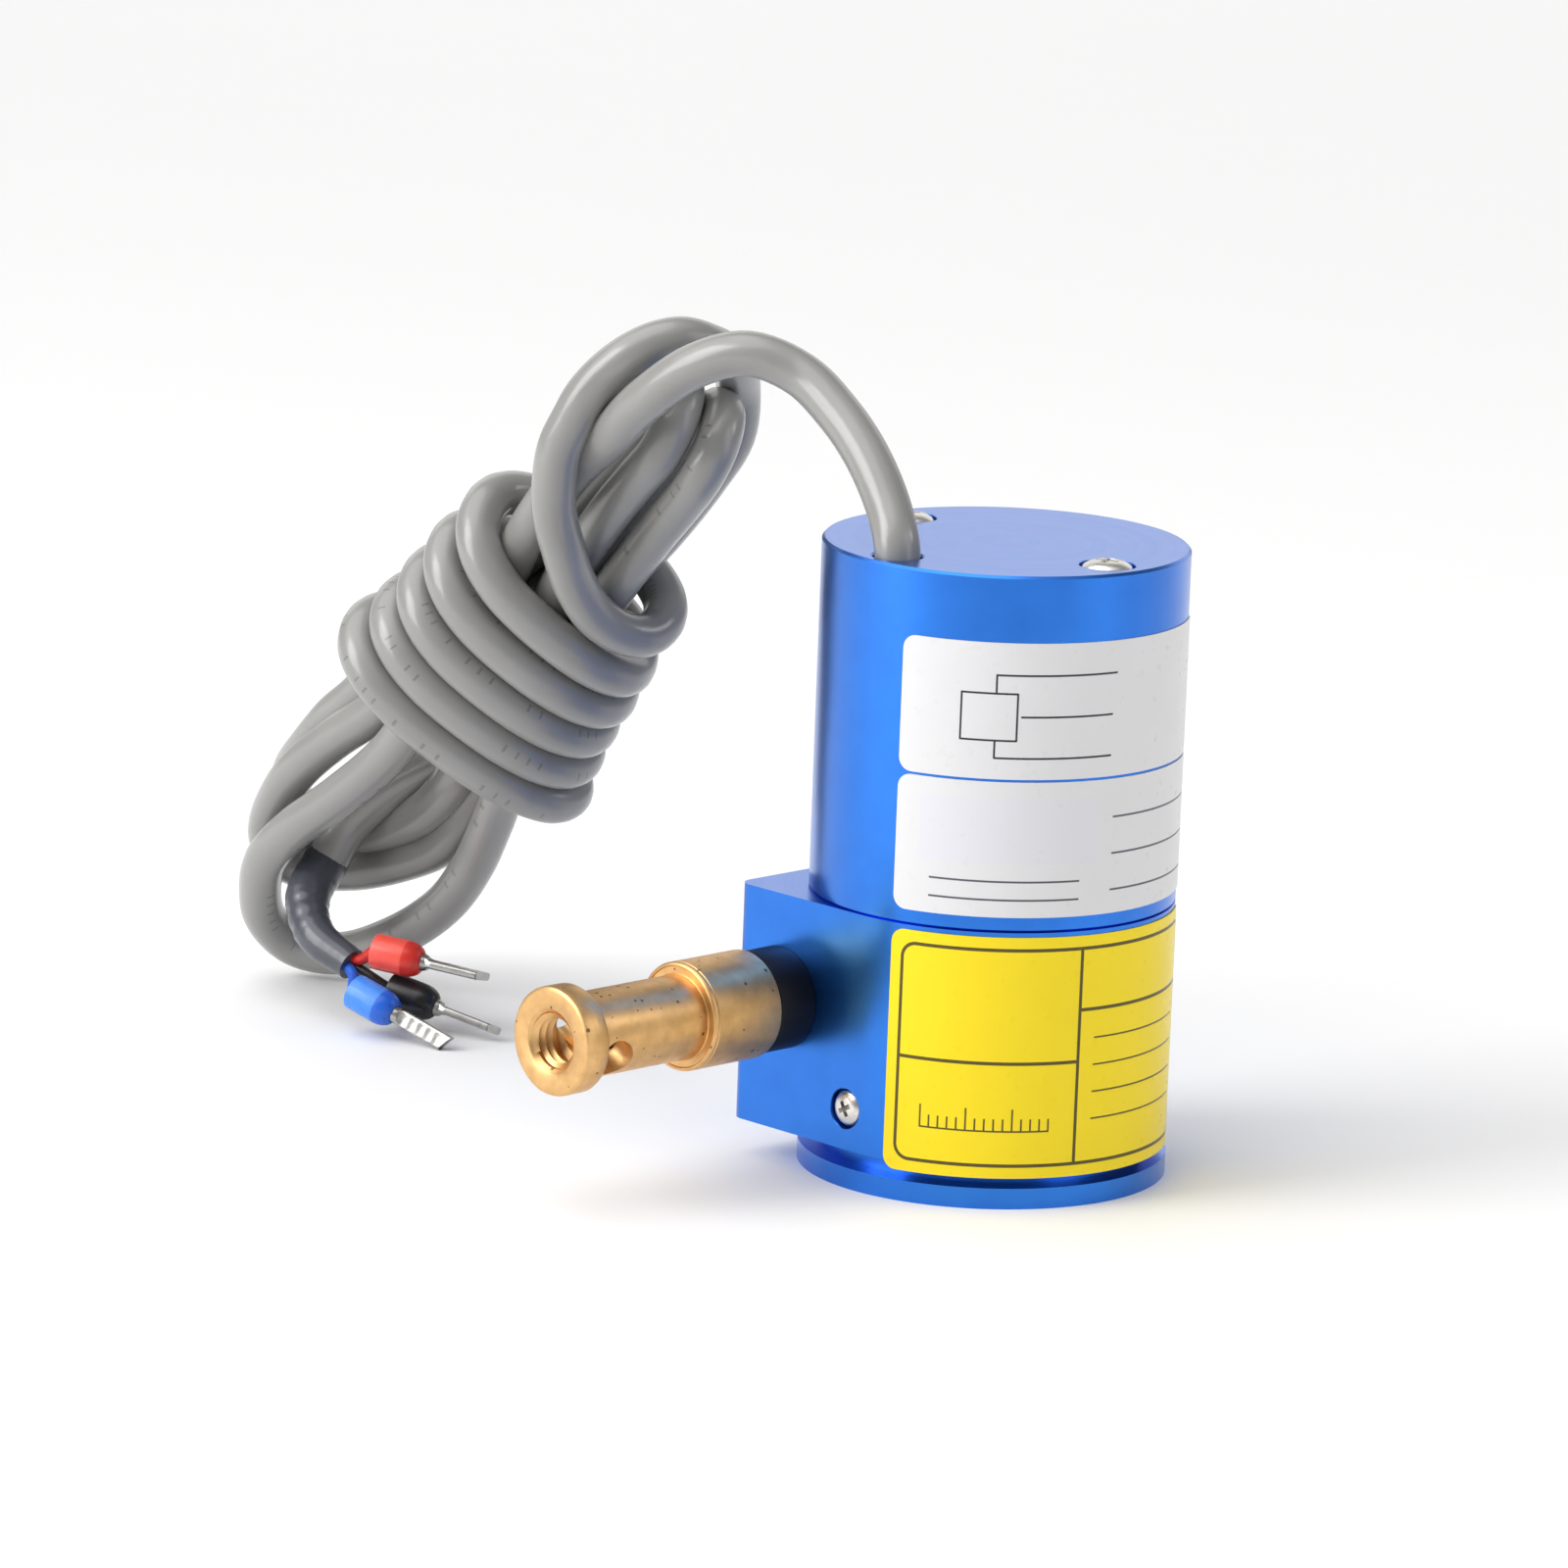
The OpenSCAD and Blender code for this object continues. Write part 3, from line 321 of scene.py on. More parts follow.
# %% Helpers for turned shapes
def spun(profile, steps=192, closed=False):
    """Spins (radius, height) points about Z. A closed profile makes a ring."""
    bm = bmesh.new()
    verts = [bm.verts.new((r, 0, z)) for r, z in profile]
    pairs = list(zip(verts, verts[1:])) + ([(verts[-1], verts[0])] if closed else [])
    edges = [bm.edges.new(pair) for pair in pairs]
    bmesh.ops.spin(
        bm, geom=verts + edges, cent=(0, 0, 0), axis=(0, 0, 1), angle=math.tau,
        steps=steps, use_merge=True, dvec=(0, 0, 0),
    )
    tidy(bm)
    return bm


def place(bm, at=(0, 0, 0), turn=None):
    """Turns a bmesh about the origin, and then moves it."""
    if turn is not None:
        bmesh.ops.transform(bm, matrix=turn.to_4x4(), verts=bm.verts)
    bmesh.ops.translate(bm, vec=Vector(at), verts=bm.verts)
    return bm


ALONG_WIRE = turn_about("X", 90)  # turns a piece's +Z to the way the wire leaves, -Y
print("a piece along the wire points", (ALONG_WIRE @ Vector((0, 0, 1)))[:])


# %% Helpers that cut and soften
def settle(piece):
    """Replaces a piece's mesh by what its modifiers make of it."""
    view = bpy.context.evaluated_depsgraph_get()
    mesh = bpy.data.meshes.new_from_object(piece.evaluated_get(view))
    piece.modifiers.clear()
    piece.data = mesh


def cut_out(piece, *cutters):
    """Cuts each bmesh out of the piece in turn."""
    for bm in cutters:
        tool = to_object("tool", bm, None)
        cut = piece.modifiers.new("cut", "BOOLEAN")
        cut.operation = "DIFFERENCE"
        cut.solver = "EXACT"
        cut.object = tool
        settle(piece)
        bpy.data.objects.remove(tool)
    shade(piece)


def break_edges(piece, width):
    """Gives every edge a small round, as a file or a tumbler does."""
    soft = piece.modifiers.new("broken edges", "BEVEL")
    soft.width = width * MM
    soft.segments = 2
    soft.limit_method = "ANGLE"
    soft.angle_limit = math.radians(35)
    soft.harden_normals = True


def rod(radius, z0, z1, steps=64):
    """A plain cylinder, mostly used as a cutter."""
    return spun([(0, z0), (radius, z0), (radius, z1), (0, z1)], steps)


print("cutting and softening helpers ready")

# %% Sweep a round bar along a line
CABLE_R = 2.5


def swept(name, line, radius, body, sides=8, radii=None):
    """A tube with closed ends, from a curve, with its own UV map along its length."""
    curve = bpy.data.curves.new(name, "CURVE")
    curve.dimensions = "3D"
    curve.bevel_depth = radius * MM
    curve.bevel_resolution = sides
    curve.use_fill_caps = True
    spline = curve.splines.new("POLY")
    spline.points.add(len(line) - 1)
    for k, (point, p) in enumerate(zip(spline.points, line)):
        point.co = (*p, 1)
        point.radius = radii[k] if radii else 1
    drawn = bpy.data.objects.new(name + "_line", curve)
    bpy.context.scene.collection.objects.link(drawn)
    view = bpy.context.evaluated_depsgraph_get()
    mesh = bpy.data.meshes.new_from_object(drawn.evaluated_get(view))
    bpy.data.objects.remove(drawn)
    mesh.name = name
    piece = bpy.data.objects.new(name, mesh)
    bpy.context.scene.collection.objects.link(piece)
    shade(piece, 60)
    if body:
        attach(piece, body)
    return piece


cable = swept("cable", cable_line, CABLE_R, "housing")
print("cable:", len(cable.data.polygons), "faces,", [u.name for u in cable.data.uv_layers])


# %% [markdown]
# ## The housings
# Both housings are turned from aluminium bar and then dyed blue. The upper one is a cup. The
# lower one has one square corner, where the wire comes out, so it starts as a flat outline that
# is pushed up, and its corner is rounded with a bevel. Holes are cut with Booleans.

# %% Upper housing
SHARP = 0.12  # how far the sharp edges of the housings are broken
RIM = 0.08
SEAM_CHAMFER = 0.3
CUP_R = BODY_R - 1.2
CUP_CEILING = Z_TOP - 2.5
CABLE_HOLE_R = CABLE_R + 0.25
PILLAR_R = 15.7
PILLAR_TURN = math.radians(-2.4)


def on_pillars(z):
    """The two places above the pillars, at a height."""
    x, y = PILLAR_R * math.cos(PILLAR_TURN), PILLAR_R * math.sin(PILLAR_TURN)
    return [Vector((side * x, side * y, z)) for side in (1, -1)]


def stepped_hole(at, head_r, depth, shank_r, through):
    """Cutter for a screw: a counterbore with a broken rim, and a plain hole under it."""
    profile = [
        (0, 1), (head_r + RIM + 1, 1), (head_r, -RIM), (head_r, -depth),
        (shank_r, -depth), (shank_r, -through), (0, -through),
    ]
    return place(spun(profile, 64), at)


cup_profile = [
    (CUP_R, Z_SEAM), (BODY_R - SEAM_CHAMFER, Z_SEAM), (BODY_R, Z_SEAM + SEAM_CHAMFER),
    (BODY_R, Z_TOP - SEAM_CHAMFER), (BODY_R - SEAM_CHAMFER, Z_TOP), (0, Z_TOP),
    (0, CUP_CEILING), (CUP_R, CUP_CEILING),
]
cable_hole = [
    (0, 1), (CABLE_HOLE_R + 1.2, 1), (CABLE_HOLE_R, -0.2), (CABLE_HOLE_R, -4), (0, -4)
]
upper_housing = to_object("upper_housing", spun(cup_profile, closed=True), "housing")
cut_out(
    upper_housing,
    place(spun(cable_hole, 64), (*CABLE_HOLE, Z_TOP)),
    *[stepped_hole(at, head_r=3.06, depth=1.5, shank_r=1.6, through=4) for at in on_pillars(Z_TOP)],
)
break_edges(upper_housing, SHARP)
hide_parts("sensor_housing")
print("upper housing:", len(upper_housing.data.polygons), "faces")


# %% Outline of the lower housing, with its square corner
CORNER_X = -19.2
CORNER_R = 1.8


def raised(extruded):
    """The vertices that an extrude made."""
    return [v for v in extruded["geom"] if isinstance(v, bmesh.types.BMVert)]


def drum_housing_mesh():
    """A circle whose front left quarter is filled out to a corner, pushed up to the seam."""
    bm = bmesh.new()
    start = math.atan2(-math.sqrt(BODY_R**2 - CORNER_X**2), CORNER_X)
    first = bm.verts.new((BODY_R * math.cos(start), BODY_R * math.sin(start), 0))
    sweep = -((start - math.radians(-90)) % math.tau)
    bmesh.ops.spin(bm, geom=[first], cent=(0, 0, 0), axis=(0, 0, 1), angle=sweep, steps=180,
                   use_merge=False, dvec=(0, 0, 0))
    bm.verts.ensure_lookup_table()
    last = bm.verts[-1]
    corner = bm.verts.new((CORNER_X, -BODY_R, 0))
    bm.edges.new((last, corner))
    bm.edges.new((corner, first))
    bmesh.ops.contextual_create(bm, geom=bm.edges[:])
    bmesh.ops.translate(bm, vec=(0, 0, Z_BODY), verts=bm.verts)
    up = bmesh.ops.extrude_face_region(bm, geom=bm.faces[:])
    bmesh.ops.translate(bm, vec=(0, 0, Z_SEAM - Z_BODY), verts=raised(up))
    upright = [
        e for e in bm.edges
        if all(abs(v.co.x - CORNER_X) < 1e-3 and abs(v.co.y + BODY_R) < 1e-3 for v in e.verts)
    ]
    bmesh.ops.bevel(bm, geom=upright, offset=CORNER_R, offset_type="OFFSET", segments=10,
                    profile=0.5, affect="EDGES", material=-1, clamp_overlap=False)
    bmesh.ops.recalc_face_normals(bm, faces=bm.faces)
    return bm


lower_housing = to_object("lower_housing", drum_housing_mesh(), "housing")
print("pushed up:", len(lower_housing.data.polygons), "faces")

# %% Holes of the lower housing
SCREW_X, SCREW_Z = 1.4, 8.7
SCREW_HOLE_R = 1.26
PILLAR_HOLE_R = 1.51
OUTLET_HOLE_R = 4.01
ROOM_R, ROOM_TOP = 17, Z_SEAM - 4.6  # the room for the drum
BEARING_R, BEARING_TOP = 5.5, Z_SEAM - 0.6  # the seat of the upper bearing
SHAFT_HOLE_R = 4.4
drum_room = [
    (0, Z_BODY - 1), (ROOM_R, Z_BODY - 1), (ROOM_R, ROOM_TOP), (BEARING_R, ROOM_TOP),
    (BEARING_R, BEARING_TOP), (SHAFT_HOLE_R, BEARING_TOP), (SHAFT_HOLE_R, Z_SEAM + 1),
    (0, Z_SEAM + 1),
]


def side_screw_hole():
    return stepped_hole((0, 0, 0), head_r=2.2, depth=1.4, shank_r=SCREW_HOLE_R, through=5.2)


def from_both_sides(make_hole):
    """Two cutters for the side screws, half a turn apart."""
    at = (-SCREW_X, -BODY_R, SCREW_Z)
    return [place(place(make_hole(), at, ALONG_WIRE), turn=turn_about("Z", a)) for a in (0, 180)]


cut_out(
    lower_housing,
    spun(drum_room, 96),
    place(rod(OUTLET_HOLE_R, -16, 2), (OUTLET.x, -BODY_R, OUTLET.z), ALONG_WIRE),
    *from_both_sides(side_screw_hole),
    *[place(rod(PILLAR_HOLE_R, -4.1, 1, 32), at) for at in on_pillars(Z_SEAM)],
)
break_edges(lower_housing, SHARP)
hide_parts("drum_housing")
print("lower housing:", len(lower_housing.data.polygons), "faces")


# %% Base with its clamp groove and spring cup
FLANGE_H = 2.3
GROOVE_R = 18  # clamps grip in the groove above the flange
SPIGOT_R, SPIGOT_TOP = 16.97, 14  # the part that stands inside the lower housing
COVER_R, COVER_SEAT = 16.17, 13.2
SPRING_R, SPRING_FLOOR = 15.37, 6.2
BEARING_FLOOR = 2.2
SHAFT_END_R, SHAFT_END_Z = 4, 1.8
MOUNT_CIRCLE_R = 13
MOUNT_HOLE = [(0, -1), (2.6, -1), (1.25, 0.35), (1.25, 5), (0, 5.7)]  # tapped, with a countersink

base_profile = [
    (0, 0), (FLANGE_R, 0), (FLANGE_R, FLANGE_H), (GROOVE_R, FLANGE_H), (GROOVE_R, Z_BODY),
    (SPIGOT_R, Z_BODY), (SPIGOT_R, SPIGOT_TOP), (COVER_R, SPIGOT_TOP), (COVER_R, COVER_SEAT),
    (SPRING_R, COVER_SEAT), (SPRING_R, SPRING_FLOOR), (BEARING_R, SPRING_FLOOR),
    (BEARING_R, BEARING_FLOOR), (SHAFT_END_R, BEARING_FLOOR), (SHAFT_END_R, SHAFT_END_Z),
    (0, SHAFT_END_Z),
]
base = to_object("base", spun(base_profile), "housing")
mount_holes = []
for k in range(3):
    a = math.radians(90 + 120 * k)
    at = (MOUNT_CIRCLE_R * math.cos(a), MOUNT_CIRCLE_R * math.sin(a), 0)
    mount_holes.append(place(spun(MOUNT_HOLE, 40), at))
cut_out(base, *mount_holes, *from_both_sides(lambda: rod(SCREW_HOLE_R, -5.2, 1, 32)))
break_edges(base, SHARP * 1.5)
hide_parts("spring_base")
print("base:", len(base.data.polygons), "faces")


# %% [markdown]
# ## Screws
# A pan head screw is a dome on a short cylinder, with a cross recess whose four slots get
# narrower downwards. A flat picture of a cross would look painted on, so the recess is cut with
# two tapered bars, one after the other, because a cutter has to be one clean solid. Each screw
# is turned differently about its own axis, as screws are when somebody has tightened them.

# %% Cross-recessed screws
SIDE_SCREW = (2.1, 1.5, 1.25, 4.2)  # head radius and height, shank radius, length
TOP_SCREW = (2.95, 2.05, 1.5, 7)
TOP_HEADS_PROUD = 0.6
SIDE_HEADS_PROUD = 0.15


def slot_cutter(width, length, depth, turn):
    """A bar that is narrower at its lower end, for one slot of the cross."""
    bm = bmesh.new()
    bar = bmesh.ops.create_cube(bm, size=1)["verts"]
    bmesh.ops.scale(bm, vec=(length, width, depth * 2), verts=bar)
    bmesh.ops.scale(bm, vec=(0.45, 0.6, 1), verts=[v for v in bar if v.co.z < 0])
    bmesh.ops.rotate(bm, cent=(0, 0, 0), matrix=turn_about("Z", turn), verts=bar)
    return bm


def pan_screw(name, sizes, spot, turn, at):
    """A screw along Z with its head's top at z = 0, turned about its own axis by spot."""
    head_r, head_h, shank_r, length = sizes
    profile = [
        (0, 0), (head_r * 0.35, -head_h * 0.02), (head_r * 0.65, -head_h * 0.1),
        (head_r * 0.85, -head_h * 0.26), (head_r * 0.96, -head_h * 0.46), (head_r, -head_h * 0.7),
        (head_r, -head_h), (shank_r, -head_h), (shank_r, -length + 0.4), (shank_r * 0.7, -length),
        (0, -length),
    ]
    screw = to_object(name, spun(profile, 64), None)
    cut_out(screw, *[slot_cutter(head_r * 0.3, head_r * 1.2, head_h * 0.75, a) for a in (0, 90)])
    print(name, len(screw.data.polygons), "faces")
    aim = (turn @ turn_about("Z", spot)).to_4x4()
    screw.data.transform(Matrix.Translation(Vector(at) * MM) @ aim)
    break_edges(screw, 0.06)
    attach(screw, "housing")
    return screw


side_screws, top_screws = [], []
for k, turn in enumerate((turn_about("Z", 0), turn_about("Z", 180))):
    at = turn @ Vector((-SCREW_X, -BODY_R - SIDE_HEADS_PROUD, SCREW_Z))
    name = f"side_screw_{k + 1}"
    side_screws.append(pan_screw(name, SIDE_SCREW, 28 + 40 * k, turn @ ALONG_WIRE, at))
    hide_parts("housing_screws")
for k, at in enumerate(on_pillars(Z_TOP + TOP_HEADS_PROUD)):
    name = f"top_screw_{k + 1}"
    top_screws.append(pan_screw(name, TOP_SCREW, 20 + 35 * k, turn_about("Z", 0), at))
    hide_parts("cap_screws")


# %% [markdown]
# ## The outlet nozzle and the brass end fitting
# The nozzle is a plain turned collar. The fitting ends the wire: its neck is thinner than its
# body, a rolled bead closes the shoulder, a cross hole shows the crimped wire end, and an M6
# thread takes an eye or a stud. The thread is a real helix: a small triangle that is spun round
# the hole while it moves along it.

# %% Nozzle
NOZZLE_R = (nozzle_high.z - nozzle_low.z) / 2
NOZZLE_LEN = nozzle_high.y - nozzle_low.y
NOZZLE_PROUD = -BODY_R - nozzle_low.y
NOZZLE_STEP = NOZZLE_LEN - NOZZLE_PROUD
NOZZLE_BORE = 1.6


def on_wire_axis(profile, back_y, steps):
    """Spins a closed profile about the wire's axis. Its zero is at back_y."""
    return place(spun(profile, steps, closed=True), (OUTLET.x, back_y, OUTLET.z), ALONG_WIRE)


nozzle_profile = [
    (NOZZLE_BORE, 0), (4, 0), (4, NOZZLE_STEP), (NOZZLE_R, NOZZLE_STEP),
    (NOZZLE_R, NOZZLE_LEN - 0.45), (NOZZLE_R - 0.13, NOZZLE_LEN - 0.13),
    (NOZZLE_R - 0.45, NOZZLE_LEN), (NOZZLE_BORE, NOZZLE_LEN),
]
nozzle = to_object("nozzle", on_wire_axis(nozzle_profile, nozzle_high.y, 128), "housing")
break_edges(nozzle, 0.08)
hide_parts("wire_nozzle")
print("nozzle stands out", round(NOZZLE_PROUD, 2), "mm")

# %% Profile of the brass fitting
FIT_R = (fitting_high.z - fitting_low.z) / 2
FIT_LEN = fitting_high.y - fitting_low.y
NECK_R = 4.65
FLANGE_FROM = FIT_LEN - 3.2
THREAD_R = 2.96
THREAD_END = FIT_LEN - 3.6
TAP_HOLE_R = 2.1
WIRE_HOLE_R = 1
rolled_bead = [
    (FIT_R, 9.3), (FIT_R - 0.1, 9.4), (FIT_R - 0.1, 9.46), (FIT_R - 0.02, 9.54), (FIT_R, 9.7),
    (FIT_R - 0.06, 9.92), (FIT_R - 0.2, 10.04), (FIT_R - 0.36, 10.06), (FIT_R - 0.46, 9.98),
    (FIT_R - 0.48, 9.86), (NECK_R + 0.12, 9.86), (NECK_R, 9.98),
]
end_flange = [
    (NECK_R, FLANGE_FROM - 0.1), (NECK_R + 0.1, FLANGE_FROM), (FIT_R - 0.42, FLANGE_FROM),
    (FIT_R - 0.14, FLANGE_FROM + 0.12), (FIT_R - 0.04, FLANGE_FROM + 0.35),
    (FIT_R - 0.04, FIT_LEN - 0.4), (FIT_R - 0.12, FIT_LEN - 0.17), (FIT_R - 0.32, FIT_LEN - 0.03),
    (FIT_R - 0.5, FIT_LEN),
]
inside_of_fitting = [
    (3.65, FIT_LEN), (3.5, FIT_LEN - 0.1), (3.0, FIT_LEN - 0.62), (THREAD_R, THREAD_END),
    (TAP_HOLE_R, THREAD_END - 0.4), (TAP_HOLE_R, FIT_LEN - 9.8), (WIRE_HOLE_R, FIT_LEN - 10.2),
]
back_end = [(WIRE_HOLE_R, 0), (FIT_R - 0.25, 0), (FIT_R, 0.25)]
fitting_profile = back_end + rolled_bead + end_flange + inside_of_fitting
print(len(fitting_profile), "points; fitting", round(FIT_LEN, 2), "mm long")


# %% Cross hole and thread
CROSS_HOLE_R = 2.2
CROSS_HOLE_Z = FIT_LEN - 5.6
CROSS_HOLE_TURN = -27
THREAD_PITCH = 1.0


def cross_hole(radius, soften):
    """A cutter through the neck with a cone at each mouth, which breaks the rim."""
    reach = 8
    rim = NECK_R - soften
    half = [
        (0, 0), (radius, 0), (radius, rim - 0.6), (radius + soften, rim + 0.2),
        (radius + soften, reach), (0, reach),
    ]
    bm = spun([(r, -z) for r, z in reversed(half[1:])] + half[1:], 64)
    return place(bm, (0, 0, CROSS_HOLE_Z), turn_about("Z", CROSS_HOLE_TURN) @ turn_about("Y", 90))


def thread_ridge(root, crest, z0, turns):
    """A triangle that is spun round the axis and climbs by one pitch in each turn."""
    bm = bmesh.new()
    half, steps = THREAD_PITCH * 0.42, int(48 * turns)
    corners = ((root, 0, z0 - half), (crest, 0, z0), (root, 0, z0 + half))
    verts = [bm.verts.new(p) for p in corners]
    face = bm.faces.new(verts)
    bmesh.ops.spin(
        bm, geom=[face, *face.edges, *verts], cent=(0, 0, 0), axis=(0, 0, 1),
        angle=math.tau * turns, steps=steps, dvec=(0, 0, THREAD_PITCH * turns / steps),
        use_merge=False,
    )
    tidy(bm)
    return bm


fitting = to_object("fitting", spun(fitting_profile, closed=True), None)
cut_out(fitting, cross_hole(CROSS_HOLE_R, soften=0.25))
ridge = thread_ridge(root=THREAD_R + 0.1, crest=2.52, z0=THREAD_END + 0.5, turns=2.6)
thread = to_object("thread", ridge, None)
print("thread", len(thread.data.polygons), "faces, fitting", len(fitting.data.polygons), "faces")


# %% Join the thread to the fitting and put both on the wire's axis
def join_into(main, other):
    """Adds the mesh of the other piece to the main one, and removes the other piece."""
    bm = bmesh.new()
    bm.from_mesh(main.data)
    bm.from_mesh(other.data)
    bpy.data.objects.remove(other)
    bm.to_mesh(main.data)
    bm.free()


join_into(fitting, thread)
back_of_fitting = Vector((OUTLET.x, fitting_high.y, OUTLET.z)) * MM
fitting.data.transform(Matrix.Translation(back_of_fitting) @ ALONG_WIRE.to_4x4())
shade(fitting, 40)
break_edges(fitting, 0.05)
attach(fitting, "end_piece")
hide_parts("end_fitting")
print("fitting with its thread:", len(fitting.data.polygons), "faces")


# %% [markdown]
# The crimp is a short tube pressed onto the wire, seen through the cross hole. The wire has to
# stretch when the fitting is pulled out. Here it is one fixed tube that runs from the drum,
# through the guide, out to the crimp.

# %% Crimp and wire
WIRE_R = 0.25
LEAVES_DRUM_Y = -5
CRIMP_LEN = crimp_high.y - crimp_low.y
CRIMP_R, PRESSED_R, CRIMP_BORE = 1.5, 1.36, 0.3
crimp_profile = [
    (CRIMP_BORE, 0), (1.25, 0), (CRIMP_R, 0.25), (CRIMP_R, 1.0), (PRESSED_R, 1.25),
    (PRESSED_R, 1.6), (CRIMP_R, 1.85), (CRIMP_R, 2.3), (PRESSED_R, 2.55), (PRESSED_R, 2.9),
    (CRIMP_R, 3.1), (CRIMP_R, CRIMP_LEN - 0.2), (1.35, CRIMP_LEN), (CRIMP_BORE, CRIMP_LEN),
]
crimp = to_object("crimp", on_wire_axis(crimp_profile, crimp_high.y, 64), "wire_end")
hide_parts("wire_crimp")

_, wire_high = span("draw_wire")
_, guide_high = span("wire_guide")
wire_line = [Vector((OUTLET.x, y, wire_high.z - WIRE_R)) for y in (wire_high.y, LEAVES_DRUM_Y)]
wire_line += [Vector((OUTLET.x, guide_high.y - 0.5 * k, OUTLET.z)) for k in range(13)]
wire_line = [p for p in wire_line if p.y > -BODY_R]
wire_from = Vector((OUTLET.x, -BODY_R, OUTLET.z))
wire_to = Vector((OUTLET.x, crimp_low.y, OUTLET.z))
wire_line += [wire_from.lerp(wire_to, k / 48) for k in range(49)]
draw_wire = swept("measuring_wire", [p * MM for p in wire_line], WIRE_R, None, sides=3)
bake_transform(draw_wire)
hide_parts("draw_wire")
print("wire from", wire_from[:], "to", wire_to[:])


# %% [markdown]
# ## Stickers
# A sticker is a thin sheet with round corners, bent round the housing. It starts as one flat
# face. Its four corners are bevelled, the face is cut into strips so that it can bend, it gets
# its thickness, and then each vertex moves onto the cylinder. Before the bend, each corner of
# each face notes its place in millimetres in a UV map, and the print is drawn from that.

# %% Sheets bent round the housing
LABEL_FROM = math.radians(-77.5)
LABEL_TO = math.radians(45)
LABEL_R = BODY_R + 0.02
LABEL_CORNER = 1.5
FILM = 0.12
STRIPS = 72


def cut_across(bm, at, normal):
    """Cuts all faces of a bmesh by a plane."""
    geom = bm.verts[:] + bm.edges[:] + bm.faces[:]
    bmesh.ops.bisect_plane(bm, geom=geom, plane_co=at, plane_no=normal)


def sticker(name, node):
    """A sheet as high as the node, bent round the housing."""
    low, high = span(node)
    width = (LABEL_TO - LABEL_FROM) * LABEL_R
    height = high.z - low.z
    bm = bmesh.new()
    edge = ((0, 0), (width, 0), (width, height), (0, height))
    corners = [bm.verts.new((x, y, 0)) for x, y in edge]
    bm.faces.new(corners)
    bmesh.ops.bevel(bm, geom=corners, offset=LABEL_CORNER, offset_type="OFFSET", segments=8,
                    profile=0.5, affect="VERTICES", material=-1)
    for k in range(1, STRIPS):
        cut_across(bm, (width * k / STRIPS, 0, 0), (1, 0, 0))
    top = bmesh.ops.extrude_face_region(bm, geom=bm.faces[:])
    bmesh.ops.translate(bm, vec=(0, 0, FILM), verts=raised(top))
    bmesh.ops.recalc_face_normals(bm, faces=bm.faces)
    uv = bm.loops.layers.uv.new("print")
    for face in bm.faces:
        for loop in face.loops:
            loop[uv].uv = (loop.vert.co.x, loop.vert.co.y)
    for v in bm.verts:
        a = LABEL_FROM + v.co.x / LABEL_R
        r = LABEL_R + v.co.z
        v.co = Vector((r * math.cos(a), r * math.sin(a), low.z + v.co.y))
    bmesh.ops.recalc_face_normals(bm, faces=bm.faces)
    piece = to_object(name, bm, "housing")
    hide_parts(node)
    return piece


wiring_sticker = sticker("wiring_sticker", "top_label")
data_sticker = sticker("data_sticker", "middle_label")
yellow_sticker = sticker("yellow_sticker", "lower_label")
print([len(s.data.polygons) for s in (wiring_sticker, data_sticker, yellow_sticker)])


# %% [markdown]
# ## The end of the cable
# The grey jacket ends in a dark heat-shrink sleeve. Three conductors come out of it, and each is
# crimped in a ferrule: a coloured collar with a domed end, and a tinned pin that the crimping
# pliers have pressed flat and grooved.

# %% Heat-shrink sleeve
SLEEVE = [(-98.6, -9.7, 16), (-97.4, -13.2, 12.8), (-93, -15.8, 9.4), (-87, -15.4, 7)]
SLEEVE_R = 2.68
SHRINKS_FROM, SHRUNK_BY = 0.45, 0.3  # shares of the sleeve's length and of its radius
CREASES = ((0.6, 0.08), (0.68, 0.05))  # share of the length, depth as a share of the radius
random.seed(4)
sleeve_mouth, sleeve_end = Vector(SLEEVE[0]), Vector(SLEEVE[-1])
before = (sleeve_mouth - Vector(SLEEVE[1])).normalized()
sleeve_route = [sleeve_mouth + before * 2.2, *[Vector(p) for p in SLEEVE]]
sleeve_line = smooth_line(sleeve_route, steps=16)
wrinkles = [random.uniform(-0.012, 0.012) for _ in sleeve_line]
widths = []
for k, wrinkle in enumerate(wrinkles):
    t = k / (len(wrinkles) - 1)
    shrunk = max(0, (t - SHRINKS_FROM) / (1 - SHRINKS_FROM)) ** 1.3
    crease = sum(depth * math.exp(-((t - spot) / 0.02) ** 2) for spot, depth in CREASES)
    widths.append(1 - SHRUNK_BY * shrunk - crease + wrinkle)
sleeve_path = [p * MM for p in sleeve_line]
sleeve = swept("heat_shrink_sleeve", sleeve_path, SLEEVE_R, "housing", radii=widths)
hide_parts("heat_shrink")
print("sleeve", round(length_of(sleeve_line), 1), "mm")

# %% Conductors
CONDUCTOR_R = 0.65
FERRULES = {  # where each collar starts, and a place that it points at
    "red": ((-84, -14.6, 9.1), (-72.3, -9, 7.7)),
    "black": ((-82.7, -13.2, 4.6), (-70.8, -7.9, 1.5)),
    "blue": ((-83.4, -18.2, 5), (-71.5, -15.1, 1)),
}
conductors = []
for colour, ends in FERRULES.items():
    start, aim = Vector(ends[0]), Vector(ends[1])
    inside = (start - sleeve_end).normalized() * 0.2 + sleeve_line[-8]
    in_collar = start + (aim - start).normalized() * 1.5
    line = smooth_line([inside, sleeve_end.lerp(start, 0.35), start, in_collar], steps=8)
    line = [p * MM for p in line]
    piece = swept(f"{colour}_conductor", line, CONDUCTOR_R, "housing", sides=5)
    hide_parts("tail_conductors")
    conductors.append(piece)
print([c.name for c in conductors])


